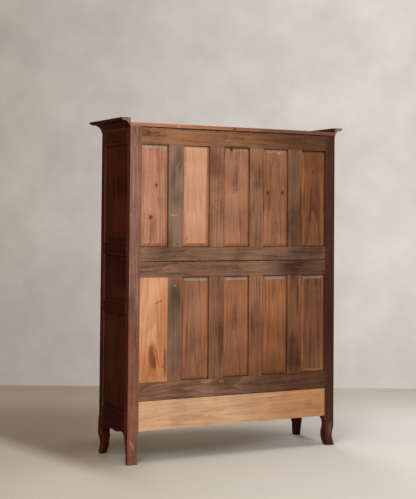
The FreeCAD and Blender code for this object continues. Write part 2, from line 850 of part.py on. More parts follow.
def front_apron_outline():
    """The front apron: a long arch each side of a lobe in the middle."""
    end = mm("front_inner")
    low = mm("apron_low") - mm("apron_end_drop")
    crest = mm("apron_low") + mm("apron_rise")
    drop = mm("apron_lobe_drop")
    top = mm("front_apron_top")
    half = [[(end, low), (end * 0.88, crest - 7), (end * 0.74, crest)],
            [(end * 0.74, crest), (end * 0.46, crest + 6), (end * 0.18, crest - 4)]]
    lobe = [[(end * 0.18, crest - 4), (0, crest - 2 * drop), (-end * 0.18, crest - 4)]]
    other = [[(-x, z) for x, z in reversed(run)] for run in reversed(half)]
    return half + lobe + other + [[(-end, low), (-end, top)], [(-end, top), (end, top)],
                                  [(end, top), (end, low)]]


bolt_side = sided(LEFT, "bolt_x - bolt_width/2 - bolt_hole_play",
                  "bolt_x + bolt_width/2 + bolt_hole_play")
bolt_depth = ("bolt_front - bolt_hole_play", "bolt_back + bolt_hole_play")
bolt_reach = "bolt_travel - bolt_retreat - door_gap + bolt_hole_play"

top_keeper = block("top_keeper_hole", bolt_side, bolt_depth,
                   ("front_top_low - 1", f"front_top_low + {bolt_reach}"))
low_keeper = block("low_keeper_hole", bolt_side, bolt_depth,
                   (f"front_apron_top - ({bolt_reach})", "front_apron_top + 1"))
mullion_x = ("-mullion_width/2", "mullion_width/2")
mullion_y = ("front_plane", "door_back")
mullion = joined("centre_mullion", [
    block("mullion_body", mullion_x, mullion_y, ("front_apron_top", "front_top_low")),
    block("mullion_tenons", widened(mullion_x, "-tenon_shoulder"),
          ("front_plane + door_thickness/3", "door_back - door_thickness/3"),
          ("front_apron_top - mullion_tenon", "front_top_low + mullion_tenon"))])

top_pegs = [p for name, side in SIDES for p in front_pegs[side] if "_front_top_peg" in p.Name]
apron_pegs = [p for name, side in SIDES for p in front_pegs[side] if "_apron_peg" in p.Name]
rail(front, "front_top_rail", FRONT_SPAN, ("front_top_low", "post_top"), (),
     top_pegs + [top_keeper, doc.getObject("mullion_tenons")])
sawn = prism("front_apron_sawn", outline("front_apron_outline", front_apron_outline(),
                                         SEEN_FROM_BACK, y="front_plane + front_rail_thickness"),
             "front_rail_thickness")
tenon = front.tongue("front_apron_tenon", widened(FRONT_SPAN, "tenon_length"),
                     (APRON_TENON, "front_apron_top - tenon_shoulder"))
cut("front_apron_rail", joined("front_apron_blank", [sawn, tenon]),
    apron_pegs + [low_keeper, doc.getObject("mullion_tenons")])

# ---------------------------------------------------------------- cornice


def crown():
    """The crown moulding's outline as (projection, height above its foot)."""
    out = mm("cornice_projection")
    tall = mm("overall_height") - mm("post_top") + mm("cornice_drop")
    cove = [(0, 0), (out * 0.15, tall * 0.44), (out * 0.5, tall * 0.71)]
    shelf = [cove[-1], (out * 0.74, tall * 0.74)]
    nose = [shelf[-1], (out * 0.92, tall * 0.83), (out, tall * 0.94)]
    return [cove, shelf, nose, [nose[-1], (out, tall)], [(out, tall), (0, tall)], [(0, tall), (0, 0)]]


crown_foot = mm("post_top") - mm("cornice_drop")
corner_reach = "2*cornice_projection"


def mitre(name, x, turn):
    """The cutter for one mitre: a block that starts at the inner corner."""
    item = doc.addObject("Part::Box", name)
    item.Placement = FreeCAD.Placement(V(0, 0, 0), FreeCAD.Rotation(V(0, 0, 1), turn))
    return bind(item, Length=corner_reach, Width=corner_reach, Height="overall_height", x=x,
                y="front_plane")


front_profile = [[(mm("front_plane") - out, crown_foot + up) for out, up in run] for run in crown()]
front_length = prism("cornice_front_length",
                     outline("cornice_front_profile", front_profile, SEEN_FROM_SIDE,
                             x="-half_width - cornice_projection"),
                     "carcass_width + 2*cornice_projection")
cut("cornice_front", front_length, [mitre("front_mitre_right", "half_width", -45),
                                    mitre("front_mitre_left", "-half_width", 135)])
for name, side in SIDES:
    profile = [[(side * (mm("half_width") + out), crown_foot + up) for out, up in run]
               for run in crown()]
    length = prism(f"cornice_{name}_length",
                   outline(f"cornice_{name}_profile", profile, SEEN_FROM_BACK, y="back_plane"),
                   "carcass_depth + cornice_projection")
    cut(f"cornice_{name}", length,
        [mitre(f"{name}_mitre", f"{side}*half_width", -135)])

# ---------------------------------------------------------------- roof, floor and shelves


def boards(name, count, x, y, z):
    """Boards laid side by side from front to back with a fine joint between them."""
    step = f"(({y[1]}) - ({y[0]}))/{count}"
    return [block(f"{name}_{index + 1}", x,
                  (f"{y[0]} + {step}*{index}",
                   f"{y[0]} + {step}*{index + 1} - {'0' if index == count - 1 else 'board_joint'}"),
                  z) for index in range(count)]


group("roof_boards", boards("roof_board", 3, ("-half_width", "half_width"),
                            ("front_plane", "back_plane"),
                            ("post_top", "post_top + roof_thickness")))

notches = []
for name, side in SIDES:
    notches.append(block(f"front_notch_{name}", sided(side, "front_inner - shelf_play", "half_width"),
                         ("front_plane", "front_post_back + shelf_play"), ("0", "post_top")))
    notches.append(block(f"back_notch_{name}", sided(side, "back_inner - shelf_play", "half_width"),
                         ("back_post_front - shelf_play", "back_plane"), ("0", "post_top")))

cut("floor_boards", group("floor_board_set", boards(
    "floor_board", 3, ("-side_inside", "side_inside"),
    ("front_plane + front_rail_thickness", "back_inside - shelf_play"),
    ("floor_low", "front_apron_top"))), notches)

cleats = []
SHELVES = ("lower", "middle", "upper")
for shelf in SHELVES:
    height = f"{shelf}_shelf_height"
    blank = block(f"shelf_{shelf}_blank", ("-side_inside + shelf_play", "side_inside - shelf_play"),
                  ("front_post_back + shelf_play", "back_inside - shelf_play"),
                  (f"{height} - shelf_thickness", height))
    cut(f"shelf_{shelf}", blank, notches)
for shelf, underside in [("floor", "floor_low")] + [
        (shelf, f"{shelf}_shelf_height - shelf_thickness") for shelf in SHELVES]:
    for name, side in SIDES:
        cleats.append(block(f"{shelf}_cleat_{name}", sided(side, "cleat_inner", "side_inside"),
                            ("front_post_back", "back_post_front"),
                            (f"{underside} - cleat_height", underside)))
group("shelf_cleats", cleats)

# ---------------------------------------------------------------- doors


FINIAL_PROFILE = (
    # share of the finial's height, girth as a share of the barrel's
    (0, 1),
    (0.08, 1.16),
    (0.2, 1),
    (0.4, 0.44),
    (0.68, 0.84),
    (1, 0.24),
)
BARREL_FLATS = 10


def barrel(name, radius, length, **place):
    """An upright forged barrel, hammered to many flats."""
    item = doc.addObject("Part::Prism", name)
    item.Polygon = BARREL_FLATS
    return bind(item, Circumradius=radius, Height=length, **place)


def finial(name, away, z, x, y):
    """The shaped end of a hinge: a collar, a neck and a bud; `away` is +1 when it points up."""
    rings = []
    for index, (share, girth) in enumerate(FINIAL_PROFILE):
        ring = doc.addObject("Part::RegularPolygon", f"{name}_{index}")
        ring.Polygon = BARREL_FLATS
        bind(ring, Circumradius=f"barrel_radius*{girth}", x=x, y=y,
             z=f"{z} + {away}*finial_height*{share}")
        rings.append(ring)
    item = doc.addObject("Part::Loft", name)
    item.Sections = rings
    item.Solid = True
    item.Ruled = True
    return item


UP_AXIS = V(0, 0, 1)
BACK_AXIS = V(0, 1, 0)
SIDE_AXIS = V(1, 0, 0)

HINGE_HEIGHTS = {
    "low": "door_low + hinge_inset",
    "middle": "(door_low + door_top)/2",
    "high": "door_top - hinge_inset",
}


def hinge(name, side, height):
    """One pin hinge: the post's lower knuckle with its pin, and the door's upper one."""
    at = {"x": f"{side}*hinge_x", "y": "hinge_y"}
    base = f"{height} - knuckle_height"
    low = f"{height} + hinge_play"
    pintle = [
        barrel(name + "_lower_barrel", "barrel_radius", "knuckle_height", z=base, **at),
        rod(name + "_pin", "pin_radius", "pin_length", UP_AXIS, z=height, **at),
        block(name + "_post_leaf", sided(side, "front_inner - leaf_thickness", "front_inner"),
              ("hinge_y", "hinge_y + leaf_width"), (base, height)),
        finial(name + "_lower_finial", -1, base, **at),
    ]
    knuckle = [
        barrel(name + "_upper_barrel", "barrel_radius", "knuckle_height", z=low, **at),
        block(name + "_door_leaf", sided(side, "door_outer", "door_outer + leaf_thickness"),
              ("hinge_y", "hinge_y + leaf_width"), (low, f"{low} + knuckle_height")),
        finial(name + "_upper_finial", 1, f"{low} + knuckle_height", **at),
    ]
    bore = rod(name + "_bore", "pin_radius + pin_play", "pin_length + hinge_play", UP_AXIS,
               z=low, **at)
    return (joined(name + "_pintle", pintle),
            cut(name + "_knuckle", joined(name + "_knuckle_blank", knuckle), [bore]))


key_axis = {"x": "key_x", "z": "key_z"}
keyhole_front = "front_plane - plate_thickness - 1"
keyhole = joined("keyhole", [
    rod("keyhole_round", "key_shank_radius + key_play", "door_thickness + plate_thickness + 2",
        BACK_AXIS, y=keyhole_front, **key_axis),
    block("keyhole_slot", ("key_x - key_bit_thickness/2 - key_play",
                           "key_x + key_bit_thickness/2 + key_play"),
          (keyhole_front, "door_back + 1"),
          ("key_z - key_shank_radius - key_bit_height - key_play", "key_z"))])


def plate_outline(side):
    """A keyhole plate: a round belly between two points."""
    tall = mm("plate_height") / 2
    wide = mm("plate_width") / 2
    x0 = side * mm("key_x")
    z0 = mm("key_z") - mm("key_bit_height") / 2
    waist = (wide * 0.4, tall * 0.5)
    foot = (waist[0], -waist[1])
    right = [[(0, tall), waist], [waist, (wide, 0), foot], [foot, (0, -tall)]]
    left = [[(-x, z) for x, z in reversed(run)] for run in reversed(right)]
    return [[(x0 + x, z0 + z) for x, z in run] for run in right + left]


pintles = []
for name, side in SIDES:
    inner_edges = sided(side, "door_meeting_edge", "door_stile_edge")
    cutters = [moulded_edge(leaf, f"{name}_door_{row}_moulding", inner_edges, z)
               for row, z in DOOR_OPENINGS.items()]
    stiles = {"hinge": sided(side, "door_stile_edge", "door_outer"),
              "meeting": sided(side, "door_inner", "door_meeting_edge")}
    pockets = [mortise(leaf, f"{name}_door_{row}_mortises", widened(inner_edges, "door_tenon"), z)
               for row, z in DOOR_RAILS.items()]
    pockets.append(leaf.tongue(f"{name}_door_groove", widened(inner_edges, "groove_depth"),
                               ("door_bottom_top - groove_depth", "door_top_low + groove_depth")))
    for part, across in stiles.items():
        tools = pockets + cutters
        if side == RIGHT and part == "meeting":
            tools = tools + [keyhole]
        cut(f"{name}_door_{part}_stile",
            leaf.body(f"{name}_door_{part}_blank", across, ("door_low", "door_top")), tools)
    made = {}
    for row, z in DOOR_RAILS.items():
        grooved = {"bottom_rail": ("high",), "top_rail": ("low",)}.get(row, ("low", "high"))
        title = f"{name}_door_{row}"
        holes = [keyhole] if side == RIGHT else []
        made[row] = rail(leaf, title, inner_edges, z, grooved, cutters + holes, "door_tenon")
    group(f"{name}_door_rails", [made[row] for row in DOOR_RAILS if row != "top_rail"])
    group(f"{name}_door_panels", [fielded_panel(leaf, f"{name}_door_{row}_panel", inner_edges, z)
                                  for row, z in DOOR_OPENINGS.items()])
    pairs = [hinge(f"{name}_{place}_hinge", side, height)
             for place, height in HINGE_HEIGHTS.items()]
    pintles += [pair[0] for pair in pairs]
    group(f"{name}_door_hinge_barrels", [pair[1] for pair in pairs])
    plate = prism(f"{name}_plate_blank",
                  outline(f"{name}_plate_outline", plate_outline(side), SEEN_FROM_BACK,
                          y="front_plane"), "plate_thickness")
    if side == RIGHT:
        cut(f"{name}_door_escutcheon", plate, [keyhole])
    else:
        group(f"{name}_door_escutcheon", [plate])
group("hinge_pintles", pintles)

# ---------------------------------------------------------------- left door's bolts


def door_bolt(name, tip, away):
    """A flat bolt that slides past the door's edge; `away` is +1 when it rises.

    Returns the bolt and the two guides that hold it.
    """
    def reach(start, end):
        low = f"{tip} - {away}*({start})"
        high = f"{tip} - {away}*({end})"
        return (high, low) if away > 0 else (low, high)
    x = sided(LEFT, "bolt_x - bolt_width/2", "bolt_x + bolt_width/2")
    bar = block(name + "_bar", x, ("bolt_front", "bolt_back"),
                reach("bolt_retreat", "bolt_retreat + bolt_length"))
    knob = rod(name + "_knob", "knob_radius", "knob_length", BACK_AXIS, x="-bolt_x", y="bolt_back",
               z=f"{tip} - {away}*(bolt_retreat + bolt_length - 1.5*bolt_width)")
    guides = []
    for index, start in enumerate(("guide_inset", "guide_inset + bolt_length/2")):
        z = reach(start, f"{start} + guide_height")
        room = widened(x, "bolt_play")
        staple = block(f"{name}_guide_{index}_blank", widened(room, "guide_wall"),
                       ("door_back", "bolt_back + bolt_play + guide_wall"), z)
        channel = block(f"{name}_guide_{index}_channel", room,
                        ("door_back - 1", "bolt_back + bolt_play"), widened(z, "1"))
        guides.append(cut(f"{name}_guide_{index}", staple, [channel]))
    return joined(name, [bar, knob]), guides


top_bolt, top_guides = door_bolt("left_door_top_bolt", "door_top", 1)
bottom_bolt, bottom_guides = door_bolt("left_door_bottom_bolt", "door_low", -1)
group("left_door_bolt_guides", top_guides + bottom_guides)

# ---------------------------------------------------------------- lock and key

case_z = ("lock_height_above_floor - case_height/2", "lock_height_above_floor + case_height/2")
bolt_z = ("lock_height_above_floor - lock_bolt_height/2",
          "lock_height_above_floor + lock_bolt_height/2")
lock_bolt_y = ("door_back + (case_depth - case_wall - lock_bolt_thickness)/2",
               "door_back + (case_depth - case_wall + lock_bolt_thickness)/2")
cut("right_door_lock_case",
    block("lock_case_blank", ("door_inner", "door_inner + case_width"),
          ("door_back", "door_back + case_depth"), case_z),
    [block("lock_case_hollow", ("door_inner + case_wall", "door_inner + case_width - case_wall"),
           ("door_back - 1", "door_back + case_depth - case_wall"), widened(case_z, "-case_wall")),
     block("lock_case_window", ("door_inner - 1", "door_inner + 2*case_wall"),
           widened(lock_bolt_y, "bolt_play"), widened(bolt_z, "bolt_play"))])
block("right_door_lock_bolt", ("door_inner + 1", "door_inner + 1 + lock_bolt_length"),
      lock_bolt_y, bolt_z)

key_front = "front_plane - plate_thickness - key_stand_out"
KEY_BOW_FLATS = 12


def key_disc(name, radius, thickness):
    """A flat disc across the key's shank, with many flats."""
    item = doc.addObject("Part::Prism", name)
    item.Polygon = KEY_BOW_FLATS
    item.Placement = FreeCAD.Placement(V(0, 0, 0), FreeCAD.Rotation(V(0, 0, 1), SIDE_AXIS))
    return bind(item, Circumradius=radius, Height=thickness, x=f"key_x - ({thickness})/2",
                y=key_front, z="key_z")


ring = cut("key_bow", key_disc("key_bow_disc", "key_bow_radius", "key_bow_thickness"),
           [key_disc("key_bow_eye", "key_bow_radius - 1.2*key_bow_thickness",
                     "key_bow_thickness + 2")])
joined("right_door_key", [
    ring,
    rod("key_shank", "key_shank_radius",
        "key_stand_out - key_bow_radius + key_bow_thickness + plate_thickness + door_thickness"
        " + case_depth - case_wall - 1", BACK_AXIS,
        y=f"{key_front} + key_bow_radius - key_bow_thickness", **key_axis),
    block("key_bit", ("key_x - key_bit_thickness/2", "key_x + key_bit_thickness/2"),
          ("door_back + 3", "door_back + 3 + key_bit_length"),
          ("key_z - key_shank_radius - key_bit_height", "key_z"))])

# ---------------------------------------------------------------- check and write

NODES = (
    ["front_post_left", "front_post_right", "back_post_left", "back_post_right",
     "front_top_rail", "front_apron_rail", "centre_mullion"]
    + [f"{part}_{name}" for part in ("side_rails", "side_apron_rail", "side_panels", "cornice")
       for name, side in SIDES]
    + list(BACK_RAILS) + ["back_base_board", "back_muntins"]
    + [f"back_panel_{row}_{index + 1}" for row in BACK_ROWS for index in range(5)]
    + ["roof_boards", "floor_boards", "shelf_cleats", "cornice_front", "frame_pegs",
       "hinge_pintles"]
    + [f"shelf_{shelf}" for shelf in SHELVES]
    + [f"{name}_door_{part}" for name, side in SIDES
       for part in ("hinge_stile", "meeting_stile", "top_rail", "rails", "panels",
                    "hinge_barrels", "escutcheon")]
    + ["left_door_bolt_guides", "left_door_top_bolt", "left_door_bottom_bolt",
       "right_door_lock_case", "right_door_lock_bolt", "right_door_key"]
)

doc.recompute()
for item in doc.Objects:
    if "Invalid" in item.State or "Error" in item.State:
        raise RuntimeError(f"{item.Name} did not build: {item.State}")
os.makedirs("parts", exist_ok=True)
for node in NODES:
    item = doc.getObject(node)
    if item.Shape.isNull() or not item.Shape.isValid():
        raise RuntimeError(f"{node} has no valid shape")
    item.Label = node
    item.Shape.exportStep(f"parts/{node}.step")
print(len(NODES), "nodes written")
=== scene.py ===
"""Finishes and small pieces of a two-door panelled armoire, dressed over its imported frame.

The row frame holds: +Z up, the doors face -Y, the framed back faces +Y. Sizes are millimetres in the
dataclass fields and become metres where Blender takes them.
"""

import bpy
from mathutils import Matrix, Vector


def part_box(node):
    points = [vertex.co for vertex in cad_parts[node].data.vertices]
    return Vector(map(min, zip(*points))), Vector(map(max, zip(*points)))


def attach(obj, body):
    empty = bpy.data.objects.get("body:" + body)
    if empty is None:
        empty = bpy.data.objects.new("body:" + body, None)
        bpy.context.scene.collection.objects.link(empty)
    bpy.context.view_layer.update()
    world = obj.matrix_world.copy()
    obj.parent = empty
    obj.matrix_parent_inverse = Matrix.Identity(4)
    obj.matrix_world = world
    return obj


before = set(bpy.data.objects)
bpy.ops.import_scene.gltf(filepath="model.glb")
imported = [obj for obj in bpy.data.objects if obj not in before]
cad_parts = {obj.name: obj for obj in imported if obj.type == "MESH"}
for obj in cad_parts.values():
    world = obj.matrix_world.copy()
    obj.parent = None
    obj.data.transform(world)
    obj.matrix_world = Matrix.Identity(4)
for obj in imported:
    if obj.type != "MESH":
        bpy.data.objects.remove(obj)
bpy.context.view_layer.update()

import logging
import math
from dataclasses import dataclass, replace
from enum import Enum
from functools import cache

import bpy
from mathutils import Matrix, Vector

log = logging.getLogger("armoire")
Socket = bpy.types.NodeSocket
MM = 0.001
SIDES = ("left", "right")

# how far the outlines of marks fray either way, in metres
FRAY = 8 * MM

# the distance between two rings of a wave texture of scale 1, in millimetres
WAVE_RING = 314

# how much red, green and blue fall in the darkest grain and rise in the palest, at a depth of 1
FALL = (0.55, 0.62, 0.66)
RISE = (0.38, 0.42, 0.46)

# the reach over which painted shade and dirt darken seams and corners, and the width of an arris lightened by
# wear and a painted highlight, in metres
CORNER_SHADE_REACH = 14 * MM
EDGE_LIGHT_WIDTH = 5 * MM

# the colour of painted shade and old dirt in corners; and that of dark open joints, also used for a painted
# shadow line under the roof
CORNER_SHADE_AND_DIRT = "#1d120c"
JOINT_DIRT_AND_SHADOW = "#1d110b"

# vertices nearer than this are merged before an edge is eased or kept sharp, in metres
WELD_REACH = 0.02 * MM

# arrises that turn by more than this many degrees are eased
ARRIS_ANGLE = 35


# ---------------------------------------------------------------- finishes


class Lay(Enum):
    """How a board is cut: the turn of its log, and the turn that leans the log out of the face."""

    UP_BACK = ((0, 0, 0), (1, 0, 0))
    ACROSS_BACK = ((0, 90, 0), (1, 0, 0))
    UP_SIDE = ((0, 0, 0), (0, 1, 0))
    DEEP_SIDE = ((-90, 0, 0), (0, 0, -1))
    ACROSS_FLAT = ((0, 90, 0), (0, 1, 0))


def linear(code: str) -> tuple[float, float, float, float]:
    """Turns an sRGB hex colour into the linear colour that a socket takes.

    Args:
        code: Six hex digits after a #.

    Returns:
        Red, green and blue as linear values, and an alpha of 1.
    """
    shares = [int(code[i:i + 2], 16) / 255 for i in (1, 3, 5)]
    red, green, blue = (s / 12.92 if s <= 0.04045 else ((s + 0.055) / 1.055) ** 2.4 for s in shares)
    return red, green, blue, 1.0


def toned(code: str, shares: tuple[float, float, float]) -> tuple[float, float, float, float]:
    """A darker or lighter version of a colour.

    Args:
        code: Six hex digits after a #.
        shares: What its red, green and blue are multiplied by.

    Returns:
        The linear colour, no channel above 1.
    """
    red, green, blue = (min(value * share, 1.0) for value, share in zip(linear(code), shares))
    return red, green, blue, 1.0


class Tree:
    """The nodes of one material or of the world, cleared and ready to be filled."""

    def __init__(self, owner: bpy.types.ID) -> None:
        """Takes over the owner's nodes.

        Args:
            owner: A new material or world.
        """
        owner.use_nodes = True
        self.owner = owner
        self.nodes = owner.node_tree.nodes
        self.links = owner.node_tree.links
        self.nodes.clear()

    def add(self, kind: str, inputs: dict | None = None, **settings: object) -> bpy.types.Node:
        """Adds a node, sets it up and fills or links its inputs.

        Args:
            kind: The node's type, without its leading ShaderNode.
            inputs: A value or another node's output for each input, by name or number.
            settings: The node's own properties.

        Returns:
            The new node.
        """
        node = self.nodes.new("ShaderNode" + kind)
        for key, value in settings.items():
            setattr(node, key, value)
        for key, value in (inputs or {}).items():
            if isinstance(value, Socket):
                self.links.new(value, node.inputs[key])
            else:
                node.inputs[key].default_value = value
        return node

    def close(self, shader: bpy.types.Node, output: str = "OutputMaterial") -> bpy.types.ID:
        """Links the shader to the output and returns the material or world."""
        self.add(output, {"Surface": shader.outputs[0]})
        return self.owner


@dataclass(frozen=True)
class Mark:
    """A spot, stain, scratch, worn patch, painted shade or painted highlight on a board, with its place and
    size in millimetres.

    `turn` is in degrees. `core` is the share of its reach that has the full strength. A wash tones
    what is below it down and doesn't cover it. `y` and `deep` limit the mark in depth.
    """

    x: float
    z: float
    wide: float
    high: float
    colour: str
    strength: float = 0.8
    turn: float = 0
    core: float = 0.35
    wash: bool = False
    y: float = 0
    deep: float = 2e6

    def paint(self, tree: Tree, place: Socket, under: Socket) -> Socket:
        """Lays the mark over a colour.

        Args:
            tree: The material's nodes.
            place: The frayed object coordinates.
            under: The colour below the mark.

        Returns:
            The colour with the mark on it.
        """
        oval = tree.add("Mapping", {
            "Vector": place,
            "Location": (self.x * MM, self.y * MM, self.z * MM),
            "Rotation": (0, math.radians(self.turn), 0),
            "Scale": (self.wide * MM / 2, self.deep * MM / 2, self.high * MM / 2),
        }, vector_type="TEXTURE")
        reach = tree.add("VectorMath", {0: oval.outputs[0]}, operation="LENGTH")
        mask = tree.add("MapRange", {
            "Value": reach.outputs["Value"],
            "From Min": self.core,
            "From Max": 1.0,
            "To Min": self.strength,
            "To Max": 0.0,
        }, interpolation_type="SMOOTHSTEP")
        blend = "MULTIPLY" if self.wash else "MIX"
        mix = tree.add("Mix", {
            0: mask.outputs[0], 6: under, 7: linear(self.colour),
        }, data_type="RGBA", blend_type=blend)
        return mix.outputs[2]


def wash(x: float, z: float, wide: float, high: float, colour: str, strength: float = 1.0,
         core: float = 0.5) -> Mark:
    """A wide mark that tones a stretch of board down.

    Args:
        x: The middle across the back.
        z: The middle's height.
        wide: Its width.
        high: Its height from top to bottom.
        colour: What the board's colour is multiplied by.
        strength: Its greatest share.
        core: The share of its reach that has the full strength.

    Returns:
        The mark.
    """
    return Mark(x, z, wide, high, colour, strength, core=core, wash=True)


@dataclass(frozen=True)
class Knot:
    """A knot: a dark eye with a ring round it, which pushes the grain aside."""

    x: float
    z: float
    size: float
    ring: str = "#7a3f1e"
    eye: str = "#3b2318"
    push: float = 14

    def marks(self) -> tuple[Mark, ...]:
        """The marks that draw the knot.

        Returns:
            The ring, and the eye over it.
        """
        return (
            Mark(self.x, self.z, self.size * 1.9, self.size * 2.4, self.ring, 0.55, core=0.2),
            Mark(self.x, self.z, self.size, self.size * 1.1, self.eye, 0.85, core=0.5),
        )

    def bulge(self, tree: Tree, place: Socket) -> Socket:
        """How far the knot pushes the grain.

        Args:
            tree: The material's nodes.
            place: The object coordinates.

        Returns:
            A length in metres, greatest at the knot.
        """
        oval = tree.add("Mapping", {
            "Vector": place,
            "Location": (self.x * MM, 0, self.z * MM),
            "Scale": (self.size * 3 * MM, 1000, self.size * 5 * MM),
        }, vector_type="TEXTURE")
        reach = tree.add("VectorMath", {0: oval.outputs[0]}, operation="LENGTH")
        lift = tree.add("MapRange", {
            "Value": reach.outputs["Value"],
            "From Min": 0.0,
            "From Max": 1.0,
            "To Min": self.push * MM,
            "To Max": 0.0,
        }, interpolation_type="SMOOTHSTEP")
        return lift.outputs[0]


@dataclass(frozen=True)
class Facet:
    """A tint on the faces that look one way, such as dust on a ledge, a rubbed bevel, or painted shade on the
    back of the far post.

    It begins where a face looks `start` towards that way and is complete at `full`. The share
    `even` of it isn't broken up, and `grain` says how strongly the wood's tone shows through.
    """

    towards: tuple[float, float, float]
    colour: str
    strength: float = 0.8
    start: float = 0.08
    full: float = 0.2
    even: float = 0.3
    grain: float = 0.4

    def paint(self, tree: Tree, grit: Socket, tone: Socket, under: Socket) -> Socket:
        """Lays the tint over a colour, with the grain showing through it.

        Args:
            tree: The material's nodes.
            grit: A noise that breaks the tint up.
            tone: The wood's tone from 0 to 1.
            under: The colour below.

        Returns:
            The tinted colour.
        """
        ramp = tree.add("MapRange", {
            "Value": tone,
            "From Min": -0.2,
            "From Max": 1.2,
            "To Min": 1 - self.grain,
            "To Max": 1 + self.grain,
        })
        tint = tree.add("VectorMath", {
            0: linear(self.colour)[:3], "Scale": ramp.outputs[0],
        }, operation="SCALE")
        normal = tree.add("NewGeometry").outputs["Normal"]
        facing = tree.add("VectorMath", {0: normal, 1: self.towards}, operation="DOT_PRODUCT")
        mask = tree.add("MapRange", {
            "Value": facing.outputs["Value"],
            "From Min": self.start,
            "From Max": self.full,
            "To Min": 0.0,
            "To Max": self.strength,
        })
        cover = tree.add("Math", {0: grit, 1: 1 - self.even, 2: self.even}, operation="MULTIPLY_ADD")
        broken = tree.add("Math", {0: mask.outputs[0], 1: cover.outputs[0]}, operation="MULTIPLY")
        mix = tree.add("Mix", {0: broken.outputs[0], 6: under, 7: tint.outputs[0]}, data_type="RGBA")
        return mix.outputs[2]


